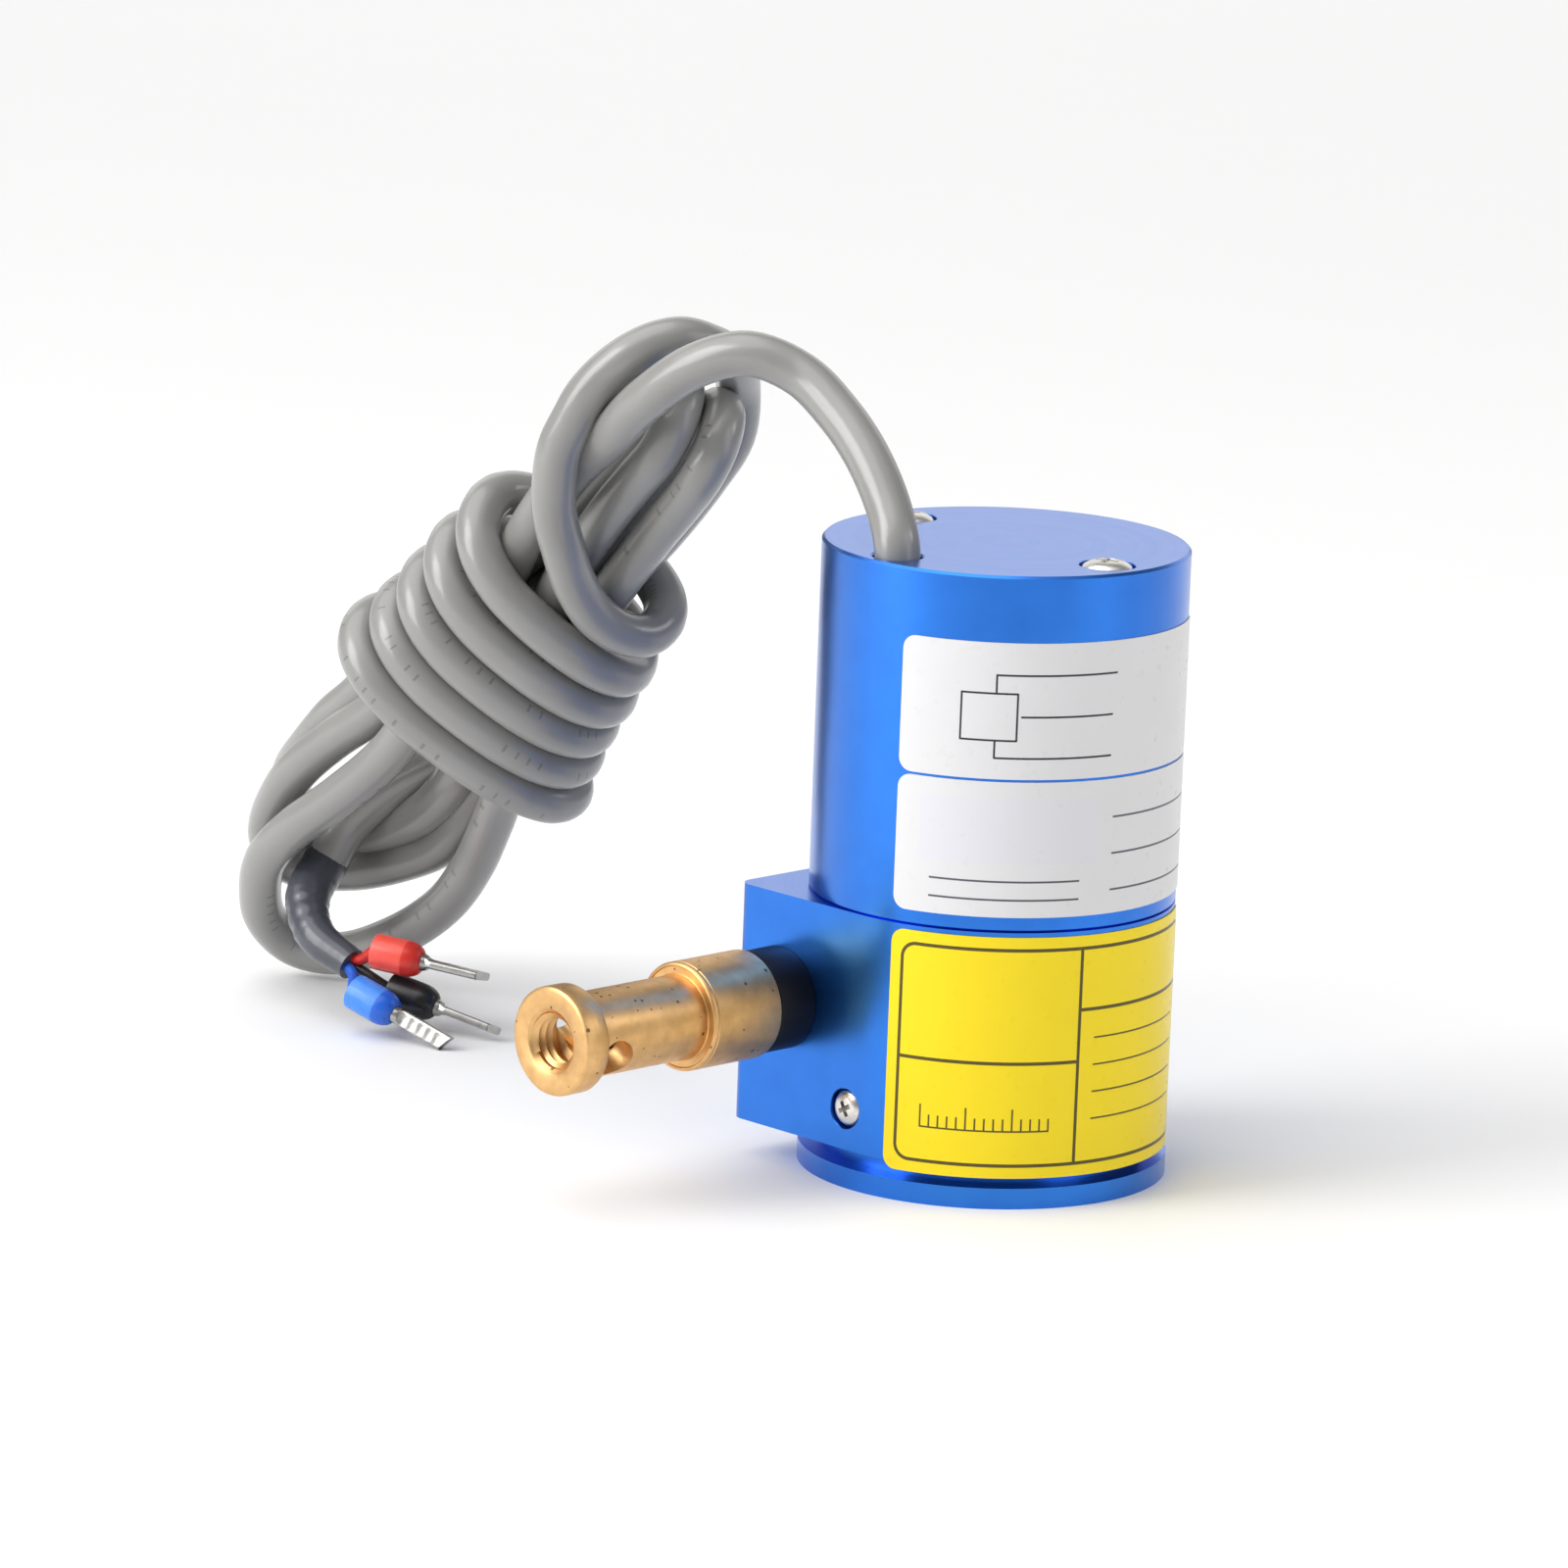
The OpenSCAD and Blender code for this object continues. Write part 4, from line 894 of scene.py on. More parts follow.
# %% Collars of the ferrules
COLLAR_PROFILE = [
    (0.72, 0.35), (0.9, 0), (1.92, 0), (2.06, 0.12), (2.1, 0.35), (2.1, 3.9), (2.08, 4.3),
    (2.0, 4.75), (1.84, 5.2), (1.6, 5.6), (1.3, 5.88), (1.05, 6), (1.0, 5.9), (1.0, 4), (0.72, 3.6),
]


def put_on_wire(piece, start, aim, spot=0):
    """Moves a finished piece to start, with +Z towards aim and turned about it by spot degrees."""
    start, aim = Vector(start), Vector(aim)
    way = (aim - start).normalized().to_track_quat("Z", "Y").to_matrix() @ turn_about("Z", spot)
    piece.data.transform(Matrix.Translation(start * MM) @ way.to_4x4())
    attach(piece, "housing")


def collar(colour, start, aim):
    """A collar that notes how far along it each vertex is, in millimetres, for its material."""
    piece = to_object(f"{colour}_collar", spun(COLLAR_PROFILE, 64, closed=True), None)
    along = piece.data.attributes.new("along", "FLOAT", "POINT")
    along.data.foreach_set("value", [v.co.z / MM for v in piece.data.vertices])
    put_on_wire(piece, start, aim)
    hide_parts(f"{colour}_ferrule")
    return piece


collars = {colour: collar(colour, *ends) for colour, ends in FERRULES.items()}
print(list(collars))


# %% Crimped pins
PIN_FROM, PIN_LEN, PIN_WIDTH, PIN_DEPTH = 6.2, 7.2, 2.05, 0.95
PIN_STEPS = 24
GROOVE_X, GROOVE_SHARE = 0.55, 0.86  # half the width of the grooves, and the depth left in them
BARREL = [(0, 4.1), (0.96, 4.1), (0.96, 6.3), (0.8, 6.7), (0, 6.7)]
PIN_TURNS = {"red": -10, "black": -20, "blue": 75}


def flat_bar():
    """A bar with round upright edges, cut into steps along it and at the grooves' sides."""
    bm = bmesh.new()
    bar = bmesh.ops.create_cube(bm, size=1)["verts"]
    bmesh.ops.scale(bm, vec=(PIN_WIDTH, PIN_DEPTH, PIN_LEN), verts=bar)
    bmesh.ops.translate(bm, vec=(0, 0, PIN_FROM + PIN_LEN / 2), verts=bar)
    upright = [e for e in bm.edges if abs(e.verts[0].co.z - e.verts[1].co.z) > PIN_LEN / 2]
    bmesh.ops.bevel(bm, geom=upright, offset=0.3, offset_type="OFFSET", segments=3, profile=0.5,
                    affect="EDGES", material=-1)
    for k in range(1, PIN_STEPS):
        cut_across(bm, (0, 0, PIN_FROM + PIN_LEN * k / PIN_STEPS), (0, 0, 1))
    for x in (-GROOVE_X, GROOVE_X):
        cut_across(bm, (x, 0, 0), (1, 0, 0))
    return bm


def crimped_pin(colour, start, aim, spot):
    """A flat bar with pressed grooves on both sides and a slanted end, on a round barrel."""
    bm = flat_bar()
    for v in bm.verts:
        step = round((v.co.z - PIN_FROM) * PIN_STEPS / PIN_LEN)
        if abs(v.co.x) < GROOVE_X + 0.05 and 3 < step < 22 and step % 4 in (0, 1):
            v.co.y *= GROOVE_SHARE
        if step < 3:
            v.co.x *= 0.72 + 0.09 * step
            v.co.y *= 1.5 - 0.16 * step
        if step == PIN_STEPS:
            v.co.z += v.co.x * 0.55
    barrel = spun(BARREL, 32)
    mesh = bpy.data.meshes.new("barrel")
    barrel.to_mesh(mesh)
    barrel.free()
    bm.from_mesh(mesh)
    bmesh.ops.recalc_face_normals(bm, faces=bm.faces)
    piece = to_object(f"{colour}_pin", bm, None)
    put_on_wire(piece, start, aim, spot)
    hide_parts("ferrule_pins")
    return piece


pins = {colour: crimped_pin(colour, *FERRULES[colour], PIN_TURNS[colour]) for colour in FERRULES}
print([len(pin.data.polygons) for pin in pins.values()])

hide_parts("cord_lead", "cord_hank", "cord_tail")
print("cable length", round(length_of(cable_line), 4), "m")


# %% [markdown]
# ## Finishes
# Every finish is procedural. Four effects are shared, so each is built once as a node group:
# cloudy variation, fine lathe lines round an axis, small specks, and the outline of a printed
# rectangle. Each material places them with its own values. The Principled shader itself stays
# in the material.

# %% Small helpers for shader nodes
def connect(tree, socket, value):
    """Links an input to another node's socket, or sets it when the value is a plain one."""
    if isinstance(value, bpy.types.NodeSocket):
        tree.links.new(value, socket)
    else:
        socket.default_value = value


def feed(tree, node, **inputs):
    """Connects the inputs that are named in the call, with _ for each space."""
    for name, value in inputs.items():
        connect(tree, node.inputs[name.replace("_", " ")], value)
    return node


def add(tree, kind, **inputs):
    return feed(tree, tree.nodes.new(kind), **inputs)


def use(tree, shared, **inputs):
    """Places a node group in a tree."""
    made = tree.nodes.new("ShaderNodeGroup")
    made.node_tree = shared
    return feed(tree, made, **inputs)


def calculate(tree, kind, operation, values):
    made = tree.nodes.new(kind)
    made.operation = operation
    for socket, value in zip(made.inputs, values):
        connect(tree, socket, value)
    return made


def math_node(tree, operation, *values):
    return calculate(tree, "ShaderNodeMath", operation, values).outputs["Value"]


def vector_math(tree, operation, *values):
    made = calculate(tree, "ShaderNodeVectorMath", operation, values)
    return made.outputs["Value" if operation == "LENGTH" else "Vector"]


def mixed(tree, factor, a, b):
    """Mixes two colours. Each is a socket or a tuple of red, green and blue."""
    made = tree.nodes.new("ShaderNodeMix")
    made.data_type = "RGBA"
    for k, value in ((0, factor), (6, a), (7, b)):
        connect(tree, made.inputs[k], (*value, 1) if isinstance(value, tuple) else value)
    return made.outputs[2]


def moved_range(tree, value, to_min, to_max, from_min=0.0, from_max=1.0):
    """Moves a value from one range of numbers to another."""
    return add(tree, "ShaderNodeMapRange", Value=value, From_Min=from_min, From_Max=from_max,
               To_Min=to_min, To_Max=to_max).outputs["Result"]


def group(name, inputs, outputs):
    """An empty node group. Every input is a (name, value) pair; no value means a vector."""
    tree = bpy.data.node_groups.new(name, "ShaderNodeTree")
    for label, value in inputs:
        kind = "NodeSocketFloat" if isinstance(value, float) else "NodeSocketVector"
        socket = tree.interface.new_socket(name=label, in_out="INPUT", socket_type=kind)
        if value is not None:
            socket.default_value = value
    for label in outputs:
        tree.interface.new_socket(name=label, in_out="OUTPUT", socket_type="NodeSocketFloat")
    enter = tree.nodes.new("NodeGroupInput").outputs
    leave = tree.nodes.new("NodeGroupOutput")
    return tree, enter, leave


print("node helpers ready")

# %% Cloudy variation
clouds, enter, leave = group(
    "clouds", [("Vector", None), ("Scale", 200.0), ("Low", 0.35), ("High", 0.65)], ["Mask"]
)
noise = add(clouds, "ShaderNodeTexNoise", Vector=enter["Vector"], Scale=enter["Scale"], Detail=4.0)
mask = moved_range(clouds, noise.outputs["Fac"], 0.0, 1.0, enter["Low"], enter["High"])
feed(clouds, leave, Mask=mask)


def cloudy(tree, where, scale, low=0.3, high=0.7):
    """The mask of a clouds group placed in a material."""
    return use(tree, clouds, Vector=where, Scale=scale, Low=low, High=high).outputs["Mask"]


print(clouds.name, "has", len(clouds.nodes), "nodes")

# %% Lathe lines round an axis
# Along the axis the pattern changes every few hundredths of a millimetre. Round it, it stays
# the same, and on an end face it follows the radius.
lathe_lines, enter, leave = group("lathe lines", [("Vector", None), ("Lines", 9000.0)], ["Height"])
parts = add(lathe_lines, "ShaderNodeSeparateXYZ", Vector=enter["Vector"]).outputs
x_squared = math_node(lathe_lines, "MULTIPLY", parts["X"], parts["X"])
y_squared = math_node(lathe_lines, "MULTIPLY", parts["Y"], parts["Y"])
out_r = math_node(lathe_lines, "SQRT", math_node(lathe_lines, "ADD", x_squared, y_squared))
slow_r = math_node(lathe_lines, "MULTIPLY", out_r, 0.25)
down = add(lathe_lines, "ShaderNodeCombineXYZ", X=slow_r, Z=parts["Z"]).outputs["Vector"]
noise = add(lathe_lines, "ShaderNodeTexNoise", Vector=down, Scale=enter["Lines"], Detail=2.0)
feed(lathe_lines, leave, Height=noise.outputs["Fac"])
print(lathe_lines.name, "has", len(lathe_lines.nodes), "nodes")

# %% Specks
specks, enter, leave = group(
    "specks", [("Vector", None), ("Scale", 900.0), ("Size", 0.2)], ["Mask"]
)
cells = add(specks, "ShaderNodeTexVoronoi", Vector=enter["Vector"], Scale=enter["Scale"]).outputs
pick = add(specks, "ShaderNodeSeparateColor", Color=cells["Color"]).outputs
few = math_node(specks, "GREATER_THAN", pick["Red"], 0.8)
size = math_node(specks, "MULTIPLY", pick["Green"], enter["Size"])
near = math_node(specks, "LESS_THAN", cells["Distance"], size)
feed(specks, leave, Mask=math_node(specks, "MULTIPLY", few, near))
print([g.name for g in bpy.data.node_groups])


# %% [markdown]
# A metal gets its colour from its reflection, so its base colour is strong and its roughness
# decides how wide the highlights are. The lathe lines spread them sideways. Plastic is the
# other way round: a matt colour under a faint, colourless gloss.

# %% Builders for metals and plastics
def blank(name):
    """A new material, its node tree, its Principled shader and the object coordinates."""
    material = bpy.data.materials.new(name)
    material.use_nodes = True
    tree = material.node_tree
    where = tree.nodes.new("ShaderNodeTexCoord").outputs["Object"]
    return material, tree, tree.nodes["Principled BSDF"], where


def axis_at(tree, where, at, turn):
    """Object coordinates with the origin moved onto a turned piece's own axis."""
    moved = add(tree, "ShaderNodeMapping", Vector=where)
    moved.vector_type = "TEXTURE"
    feed(tree, moved, Location=Vector(at) * MM, Rotation=turn)
    return moved.outputs["Vector"]


def bump(tree, shader, height, strength, distance):
    made = add(tree, "ShaderNodeBump", Height=height, Strength=strength, Distance=distance)
    feed(tree, shader, Normal=made.outputs["Normal"])


def metal(name, colour, deep, rough, lines=9000.0, at=(0, 0, 0), turn=(0, 0, 0), line_depth=0.12,
          speck=0.0, cloud=260.0, coat=0.0, wear=0.05):
    """A metal with cloudy colour, lathe lines in its gloss and, on request, dark specks."""
    material, tree, shader, where = blank(name)
    where = axis_at(tree, where, at, turn)
    patches = cloudy(tree, where, cloud, high=0.75)
    turned = use(tree, lathe_lines, Vector=where, Lines=lines).outputs["Height"]
    colour_now = mixed(tree, math_node(tree, "MULTIPLY", patches, 0.7), colour, deep)
    if speck:
        dots = use(tree, specks, Vector=where, Scale=1300.0, Size=0.32).outputs["Mask"]
        dark = tuple(0.25 * c for c in deep)
        colour_now = mixed(tree, math_node(tree, "MULTIPLY", dots, speck), colour_now, dark)
    feed(
        tree, shader, Base_Color=colour_now, Metallic=1.0, Coat_Weight=coat, Coat_Roughness=0.25,
        Roughness=moved_range(tree, turned, rough - wear, rough + wear, 0.3, 0.7),
    )
    bump(tree, shader, turned, line_depth, 0.00002)
    return material


def plastic(name, colour, deep, rough, grain=3000.0, grain_depth=0.1, coat=0.0, shine=0.5):
    """A moulded plastic with cloudy colour and a fine grain."""
    material, tree, shader, where = blank(name)
    fine = cloudy(tree, where, grain, 0.2, 0.8)
    feed(
        tree, shader, Base_Color=mixed(tree, cloudy(tree, where, 180.0), colour, deep),
        Roughness=moved_range(tree, fine, rough - 0.04, rough + 0.04),
        Specular_IOR_Level=shine, Coat_Weight=coat, Coat_Roughness=0.12,
    )
    bump(tree, shader, fine, grain_depth, 0.00003)
    return material


print("builders ready")


# %% Metals
WIRE_TURN = (math.radians(90), 0, 0)
anodised = metal("blue anodised aluminium", (0.018, 0.19, 0.74), (0.015, 0.16, 0.66), 0.29,
                 lines=5000.0, line_depth=0.012, coat=0.5, wear=0.015)
brass = metal("turned brass", (0.80, 0.50, 0.22), (0.56, 0.33, 0.135), 0.42, lines=7000.0,
              at=(OUTLET.x, 0, OUTLET.z), turn=WIRE_TURN, line_depth=0.15, speck=0.85, cloud=650.0)
nickel = metal("nickel plate", (0.82, 0.80, 0.76), (0.66, 0.64, 0.60), 0.3, line_depth=0.1)
tinned_copper = metal("tinned copper", (0.52, 0.51, 0.49), (0.30, 0.295, 0.28), 0.32, cloud=900.0)
ground_steel = metal("ground steel", (0.55, 0.56, 0.58), (0.42, 0.43, 0.45), 0.28)
wire_steel = metal("drawn steel wire", (0.30, 0.31, 0.33), (0.20, 0.205, 0.22), 0.36)
dark_steel = metal("blackened steel", (0.10, 0.10, 0.11), (0.05, 0.05, 0.06), 0.4)
blued_steel = metal("blued spring steel", (0.20, 0.24, 0.34), (0.12, 0.14, 0.22), 0.3)
bright_aluminium = metal("turned aluminium", (0.78, 0.79, 0.80), (0.66, 0.67, 0.69), 0.3,
                         lines=4000.0)
gilt = metal("gilt contacts", (0.85, 0.66, 0.32), (0.70, 0.52, 0.22), 0.25)
inner_brass = metal("drawn brass", (0.78, 0.56, 0.28), (0.66, 0.45, 0.2), 0.3)
print("metals done")

# %% Plastics
black_plastic = plastic("satin black plastic", (0.004, 0.004, 0.006), (0.006, 0.006, 0.008), 0.42,
                        shine=0.2)
ceramic = plastic("glazed ceramic", (0.86, 0.84, 0.78), (0.80, 0.78, 0.72), 0.15, coat=0.5)
white_plastic = plastic("white nylon", (0.80, 0.80, 0.77), (0.72, 0.72, 0.68), 0.45)
pot_plastic = plastic("moulded blue phenolic", (0.03, 0.09, 0.28), (0.02, 0.06, 0.2), 0.35)
sleeve_plastic = plastic("heat-shrink tube", (0.055, 0.058, 0.075), (0.075, 0.08, 0.1), 0.36,
                         grain=900.0, grain_depth=0.35, coat=0.4)
inner_jacket = plastic("inner jacket", (0.25, 0.25, 0.24), (0.28, 0.28, 0.27), 0.42)
dark_insulation = plastic("dark insulation", (0.02, 0.02, 0.022), (0.03, 0.03, 0.034), 0.35)
red_insulation = plastic("red insulation", (0.6, 0.02, 0.015), (0.5, 0.015, 0.01), 0.35)
blue_insulation = plastic("blue insulation", (0.02, 0.12, 0.6), (0.015, 0.09, 0.5), 0.35)
print("plastics done")


# %% [markdown]
# A ferrule's collar is one colour, but its plastic is thin over the wire and solid over the
# barrel, so the domed end looks darker. The collar lies at an angle, so object coordinates
# don't run along it. Its own attribute does, and says where the darker end begins.

# %% Ferrule collars
SOLID_FROM, SOLID_TO = 3.85, 4.05  # millimetres along the collar


def collar_plastic(name, thin, solid):
    material, tree, shader, where = blank(name)
    along = tree.nodes.new("ShaderNodeAttribute")
    along.attribute_name = "along"
    share = moved_range(tree, along.outputs["Fac"], 0.0, 1.0, SOLID_FROM, SOLID_TO)
    fine = cloudy(tree, where, 1500.0)
    pale = mixed(tree, math_node(tree, "MULTIPLY", fine, 0.25), thin, solid)
    feed(
        tree, shader, Base_Color=mixed(tree, share, pale, solid),
        Roughness=moved_range(tree, fine, 0.26, 0.36),
        Subsurface_Weight=0.15, Subsurface_Scale=0.001,
    )
    return material


collar_finishes = {
    "red": collar_plastic("red collar", (0.90, 0.10, 0.07), (0.62, 0.025, 0.015)),
    "black": collar_plastic("black collar", (0.02, 0.02, 0.023), (0.008, 0.008, 0.01)),
    "blue": collar_plastic("blue collar", (0.06, 0.28, 0.86), (0.015, 0.12, 0.62)),
}
print([material.name for material in collar_finishes.values()])


# %% [markdown]
# The cable's PVC jacket is satin grey. A row of faint printed ticks runs along one side of it,
# as a factory prints marks on a cable. The tube's UV map gives the distance along the cable, so
# the ticks follow every bend.

# %% Cable jacket
TICK_PITCH = 0.0017  # metres from tick to tick
TICK_SHARE = 0.2
INK_STRENGTH = 0.4
PRINT_ROW, PRINT_HALF_HEIGHT = 0.3, 0.03  # shares of the way round the cable


def jacket_plastic(name, length):
    material, tree, shader, where = blank(name)
    uv = tree.nodes.new("ShaderNodeUVMap")
    uv.uv_map = cable.data.uv_layers[0].name
    spots = add(tree, "ShaderNodeSeparateXYZ", Vector=uv.outputs["UV"]).outputs
    along = math_node(tree, "MULTIPLY", spots["X"], length / TICK_PITCH)
    number = add(tree, "ShaderNodeCombineXYZ", X=math_node(tree, "FLOOR", along)).outputs["Vector"]
    words = add(tree, "ShaderNodeTexNoise", Vector=number, Scale=0.37).outputs["Fac"]
    tick = math_node(tree, "LESS_THAN", math_node(tree, "FRACT", along), TICK_SHARE)
    shown = math_node(tree, "GREATER_THAN", words, 0.5)
    across = math_node(tree, "ABSOLUTE", math_node(tree, "SUBTRACT", spots["Y"], PRINT_ROW))
    band = math_node(tree, "LESS_THAN", across, PRINT_HALF_HEIGHT)
    mask = math_node(tree, "MULTIPLY", math_node(tree, "MULTIPLY", tick, shown), band)
    ink = math_node(tree, "MULTIPLY", mask, INK_STRENGTH)
    fine = cloudy(tree, where, 2400.0, 0.2, 0.8)
    grey = mixed(tree, cloudy(tree, where, 90.0), (0.255, 0.252, 0.242), (0.285, 0.282, 0.27))
    feed(
        tree, shader, Base_Color=mixed(tree, ink, grey, (0.05, 0.05, 0.06)),
        Roughness=moved_range(tree, fine, 0.3, 0.38), Coat_Weight=0.6, Coat_Roughness=0.17,
    )
    bump(tree, shader, fine, 0.06, 0.00004)
    return material


jacket = jacket_plastic("grey PVC jacket", length_of(cable_line))
print(jacket.name, "has", len(jacket.node_tree.nodes), "nodes")


# %% [markdown]
# The print on the stickers is plain: frames, rules and ticks, with no words. Each line is the
# edge of a rectangle in the sticker's UV map, drawn from the distance to that rectangle.

# %% Printed lines
outline, enter, leave = group(
    "printed outline",
    [("Place", None), ("Middle", (0, 0, 0)), ("Half", (1, 1, 0)), ("Corner", 0.0), ("Line", 0.2)],
    ["Mask", "Inside"],
)
offset = vector_math(outline, "SUBTRACT", enter["Place"], enter["Middle"])
offset = vector_math(outline, "ABSOLUTE", offset)
corner = add(outline, "ShaderNodeCombineXYZ", X=enter["Corner"], Y=enter["Corner"])
past = vector_math(outline, "SUBTRACT", offset, enter["Half"])
past = vector_math(outline, "ADD", past, corner.outputs["Vector"])
outside = vector_math(outline, "LENGTH", vector_math(outline, "MAXIMUM", past, (0.0, 0.0, 0.0)))
both = add(outline, "ShaderNodeSeparateXYZ", Vector=past).outputs
inner = math_node(outline, "MINIMUM", math_node(outline, "MAXIMUM", both["X"], both["Y"]), 0.0)
distance = math_node(outline, "ADD", outside, inner)
distance = math_node(outline, "SUBTRACT", distance, enter["Corner"])
half_line = math_node(outline, "MULTIPLY", enter["Line"], 0.5)
on_line = math_node(outline, "LESS_THAN", math_node(outline, "ABSOLUTE", distance), half_line)
feed(outline, leave, Mask=on_line, Inside=math_node(outline, "LESS_THAN", distance, 0.0))
print(outline.name, "has", len(outline.nodes), "nodes")


# %% Film with print on it
def rectangle(x0, y0, x1, y1, line, corner=0.0):
    """Inputs of the outline group for a rectangle in the sticker's millimetres."""
    middle = ((x0 + x1) / 2, (y0 + y1) / 2, 0)
    half = ((x1 - x0) / 2, (y1 - y0) / 2, 0)
    return dict(Middle=middle, Half=half, Corner=corner, Line=line)


def printed_film(name, paper, ink, lines, panels=()):
    """A satin film with lines in one ink, and filled rectangles in tones of their own."""
    material, tree, shader, where = blank(name)
    uv = tree.nodes.new("ShaderNodeUVMap")
    uv.uv_map = "print"
    spot = uv.outputs["UV"]
    colour_now = mixed(tree, cloudy(tree, where, 160.0), paper, tuple(0.98 * c for c in paper))
    for box, tone in panels:
        inside = use(tree, outline, Place=spot, **box).outputs["Inside"]
        colour_now = mixed(tree, inside, colour_now, tone)
    mask = 0.0
    for line in lines:
        one = use(tree, outline, Place=spot, **line).outputs["Mask"]
        mask = math_node(tree, "MAXIMUM", mask, one)
    fine = cloudy(tree, where, 700.0, 0.2, 0.8)
    feed(
        tree, shader, Base_Color=mixed(tree, mask, colour_now, ink),
        Roughness=moved_range(tree, fine, 0.25, 0.35), Specular_IOR_Level=0.3,
    )
    bump(tree, shader, fine, 0.02, 0.00004)
    return material


print("film builder ready")

# %% White stickers
THIN = 0.22
WHITE_PAPER = (0.76, 0.76, 0.775)
wiring_lines = [
    rectangle(6.9, 4.2, 12.9, 9.3, THIN),
    rectangle(10.6, 9.3, 10.6, 11.3, THIN), rectangle(10.6, 11.3, 24.2, 11.3, THIN),
    rectangle(13.4, 6.8, 23.8, 6.8, THIN),
    rectangle(10.6, 2.3, 10.6, 4.2, THIN), rectangle(10.6, 2.3, 23.8, 2.3, THIN),
]
data_lines = [rectangle(24.6, y, 40.5, y, THIN) for y in (10.6, 6.6, 2.6)]
data_lines += [rectangle(4.2, y, 20.5, y, THIN) for y in (3.9, 1.9)]
data_panel = (rectangle(2.8, 5.8, 22.5, 12.9, THIN), (0.74, 0.74, 0.79))
wiring_film = printed_film("wiring sticker film", WHITE_PAPER, (0.03, 0.03, 0.04), wiring_lines)
data_film = printed_film("data sticker film", WHITE_PAPER, (0.10, 0.10, 0.12), data_lines,
                         [data_panel])
print(len(wiring_lines), "and", len(data_lines), "lines on the white stickers")

# %% Yellow sticker
BOLD = 0.38
FINE = 0.2
LEFT, SPLIT, RIGHT = 1.4, 21.4, 41.4
BOTTOM, TOP = 1.4, 25.2
yellow_lines = [
    rectangle(LEFT, BOTTOM, RIGHT, TOP, BOLD, corner=1.6),
    rectangle(SPLIT, BOTTOM, SPLIT, TOP, BOLD),
    rectangle(LEFT, 12.7, SPLIT, 12.7, BOLD),
    rectangle(SPLIT, 18.4, RIGHT, 18.4, BOLD),
]
yellow_lines += [rectangle(SPLIT + 2, y, RIGHT - 2, y, FINE) for y in (15.2, 12.2, 9.2, 6.2)]
for k in range(15):
    scale_x = 4.2 + k
    yellow_lines.append(rectangle(scale_x, 5.2, scale_x, 6.5 if k % 5 else 7.6, FINE))
yellow_lines.append(rectangle(4.2, 5.2, 18.2, 5.2, FINE))
yellow_film = printed_film("yellow sticker film", (0.96, 0.74, 0.010), (0.10, 0.075, 0.015),
                           yellow_lines)
print(len(yellow_lines), "lines on the yellow sticker")


# %% [markdown]
# ## Giving each piece its finish
# New pieces get their material here. The nodes that keep their CAD solid, nearly all of them
# inside the housings, get one too, because the inside is seen when the object is opened.

# %% Finish the new pieces
def finish_with(material, *pieces):
    """Gives one material to any number of pieces."""
    for piece in pieces:
        piece.data.materials.clear()
        piece.data.materials.append(material)


finish_with(anodised, upper_housing, lower_housing, base)
finish_with(nickel, *side_screws, *top_screws, crimp)
finish_with(brass, fitting)
finish_with(black_plastic, nozzle)
finish_with(wire_steel, draw_wire)
finish_with(jacket, cable)
finish_with(sleeve_plastic, sleeve)
finish_with(tinned_copper, *pins.values())
finish_with(wiring_film, wiring_sticker)
finish_with(data_film, data_sticker)
finish_with(yellow_film, yellow_sticker)
for piece, material in zip(conductors, (red_insulation, dark_insulation, blue_insulation)):
    finish_with(material, piece)
for colour, piece in collars.items():
    finish_with(collar_finishes[colour], piece)
print(len(bpy.data.materials), "materials")

# %% Finish the CAD nodes
INNER = {
    ceramic: ["wire_guide"],
    wire_steel: ["wound_wire"],
    bright_aluminium: ["wire_drum", "shaft_coupling", "sensor_plate"],
    dark_steel: ["drum_set_screw", "shaft_clip", "coupling_screws"],
    ground_steel: [
        "drum_shaft", "potentiometer_shaft", "lower_bearing_outer", "lower_bearing_inner",
        "upper_bearing_outer", "upper_bearing_inner",
    ],
    nickel: ["bearing_balls", "potentiometer_nut"],
    blued_steel: ["power_spring"],
    inner_brass: ["spring_arbor", "lower_pillars", "upper_pillars"],
    white_plastic: ["spring_cover", "cable_tie"],
    pot_plastic: ["potentiometer"],
    gilt: ["potentiometer_terminals"],
    inner_jacket: ["cable_end"],
    dark_insulation: ["inner_conductors"],
}
for material, names in INNER.items():
    finish_with(material, *[nodes[name] for name in names])
print(sum(len(names) for names in INNER.values()), "CAD nodes finished")


# %% [markdown]
# ## Floor and light
# The object stands on a plain pale floor that runs into the background. Soft boxes light it
# from the left, the right, the rear and above, and a wide card stands behind it. A weak sun
# with a very wide disc is the light of the whole room. In polished metal the boxes show as
# bright bands, and the darker room between them gives the cylinder its shape. Only the camera
# sees the pale background; the metal mirrors the darker room.

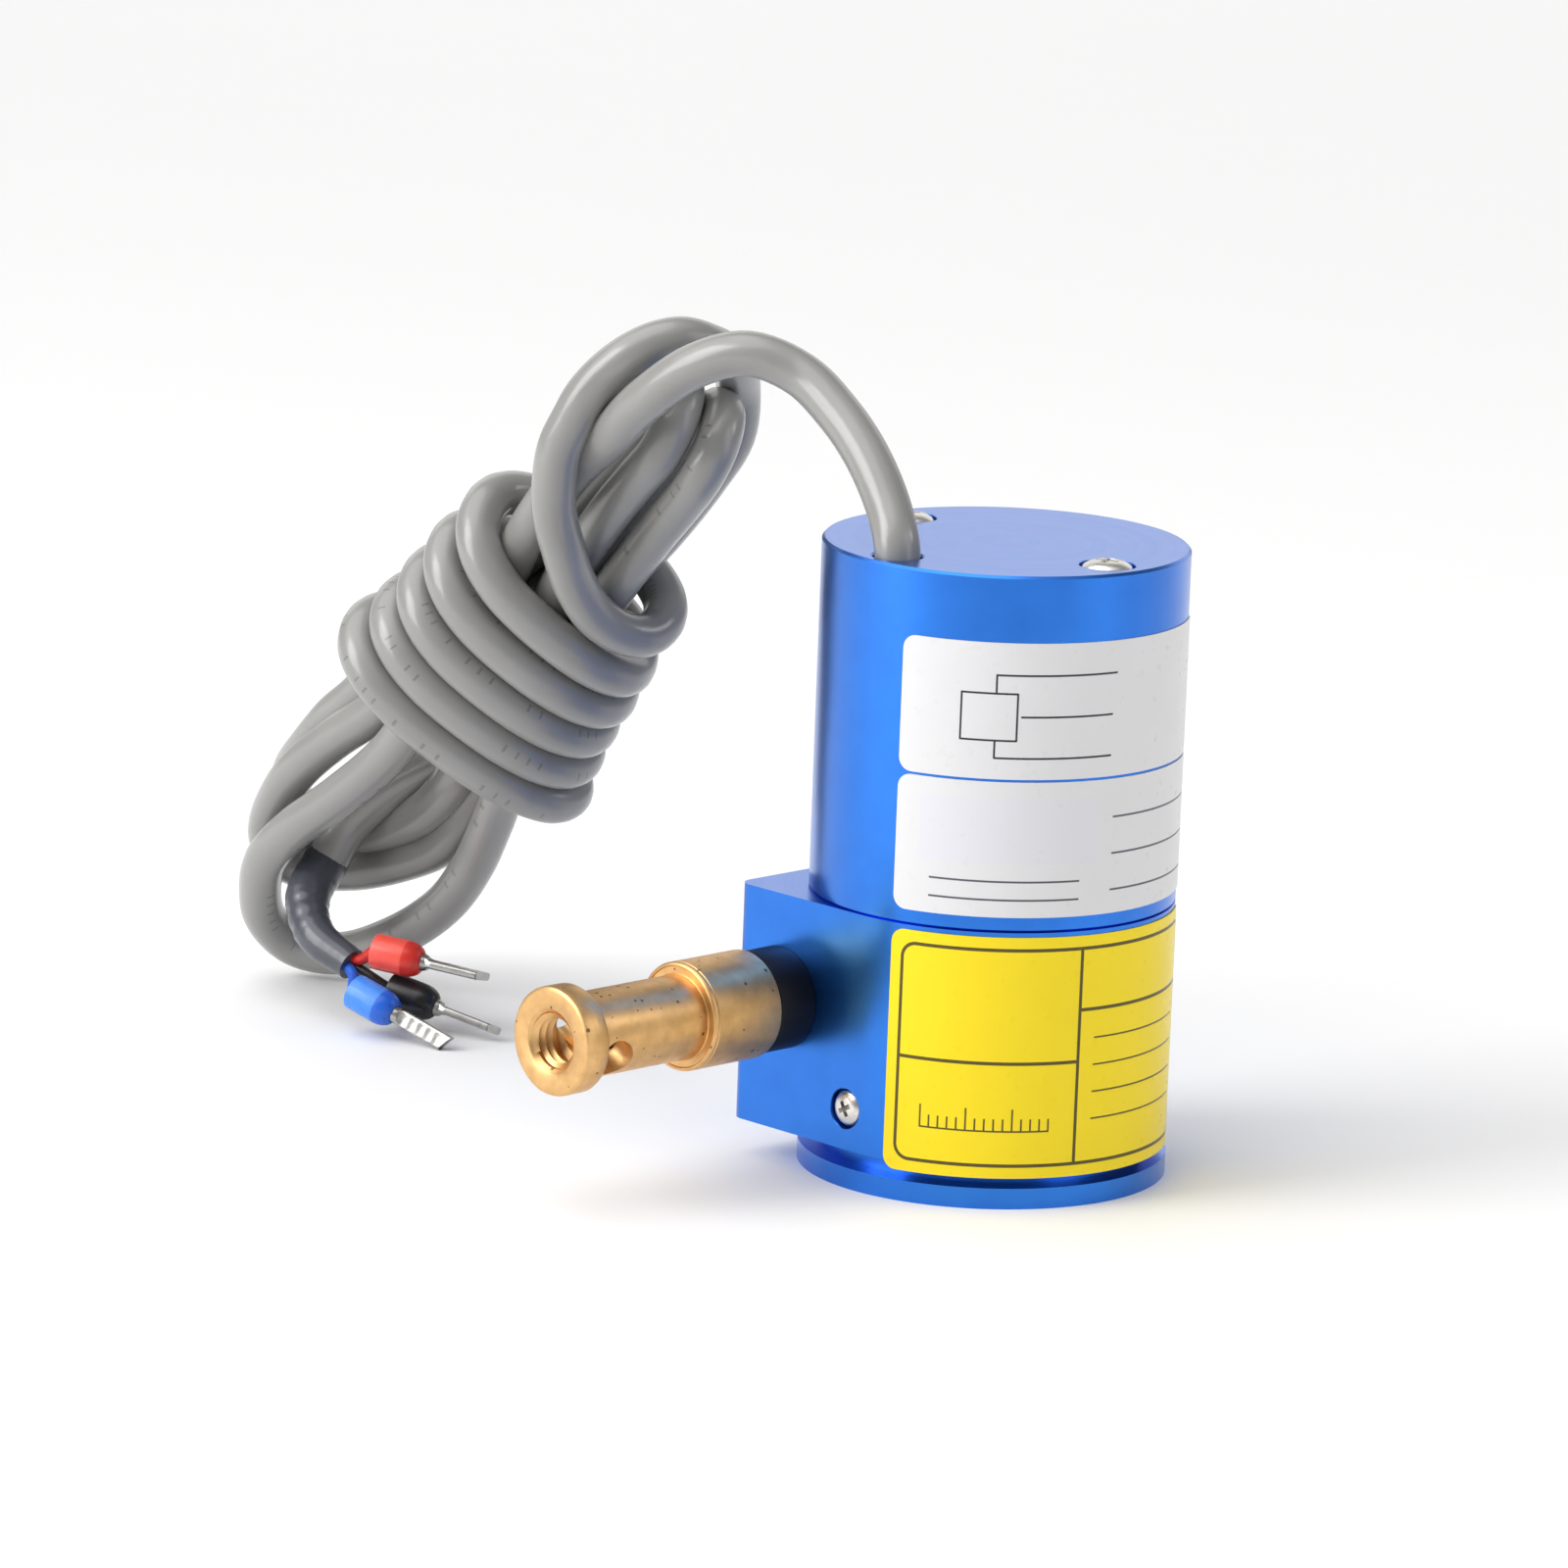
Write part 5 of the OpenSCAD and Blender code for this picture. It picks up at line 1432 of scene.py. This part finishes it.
# %% Floor
floor_mesh = bmesh.new()
bmesh.ops.create_grid(floor_mesh, x_segments=1, y_segments=1, size=6000)
floor = to_object("floor", floor_mesh, None)
material, tree, shader, where = blank("pale floor")
soft = cloudy(tree, where, 3.0, 0.2, 0.8)
feed(
    tree, shader, Base_Color=mixed(tree, soft, (0.90, 0.90, 0.90), (0.915, 0.915, 0.915)),
    Roughness=0.6, Specular_IOR_Level=0.2,
)
finish_with(material, floor)
print("floor", floor.dimensions[:], "m")


# %% Lights
MIDDLE = (-0.03, -0.01, 0.04)


def soft_box(name, place_m, aim_m, size, power):
    """A rectangular area light at a place in metres that looks at another place."""
    lamp = bpy.data.lights.new(name, "AREA")
    lamp.shape = "RECTANGLE"
    lamp.size, lamp.size_y = size
    lamp.energy = power
    made = bpy.data.objects.new(name, lamp)
    bpy.context.scene.collection.objects.link(made)
    made.location = place_m
    made.rotation_euler = (Vector(aim_m) - Vector(place_m)).to_track_quat("-Z", "Y").to_euler()


soft_box("left box", (-0.35, -0.75, 0.42), MIDDLE, (0.45, 0.7), 5.4)
soft_box("right box", (0.75, 0.2, 0.35), MIDDLE, (0.4, 0.7), 1.1)
soft_box("rear box", (0.6, 0.6, 0.5), MIDDLE, (0.25, 0.25), 0.7)
soft_box("top box", (0.0, -0.1, 0.9), MIDDLE, (0.9, 0.9), 1.5)
soft_box("back card", (-0.95, 0.97, 0.62), (0, 0, 0.05), (2.2, 0.9), 5.0)
sun = bpy.data.objects.new("sky light", bpy.data.lights.new("sky light", "SUN"))
sun.data.energy = 1.6
sun.data.angle = math.radians(70)
sun.rotation_euler = (math.radians(25), math.radians(-18), 0)
bpy.context.scene.collection.objects.link(sun)
print([light.name for light in bpy.data.lights])

# %% The room around
world = bpy.data.worlds.new("studio")
world.use_nodes = True
tree = world.node_tree
room = feed(tree, tree.nodes["Background"], Color=(1.0, 0.99, 0.98, 1), Strength=0.25)
seen = add(tree, "ShaderNodeBackground", Color=(0.8, 0.8, 0.8, 1))
rays = tree.nodes.new("ShaderNodeLightPath")
which = add(tree, "ShaderNodeMixShader", Fac=rays.outputs["Is Camera Ray"])
connect(tree, which.inputs[1], room.outputs["Background"])
connect(tree, which.inputs[2], seen.outputs["Background"])
feed(tree, tree.nodes["World Output"], Surface=which.outputs["Shader"])
bpy.context.scene.world = world
bpy.context.scene.view_settings.view_transform = "Standard"
print(world.name, "has", len(tree.nodes), "nodes")
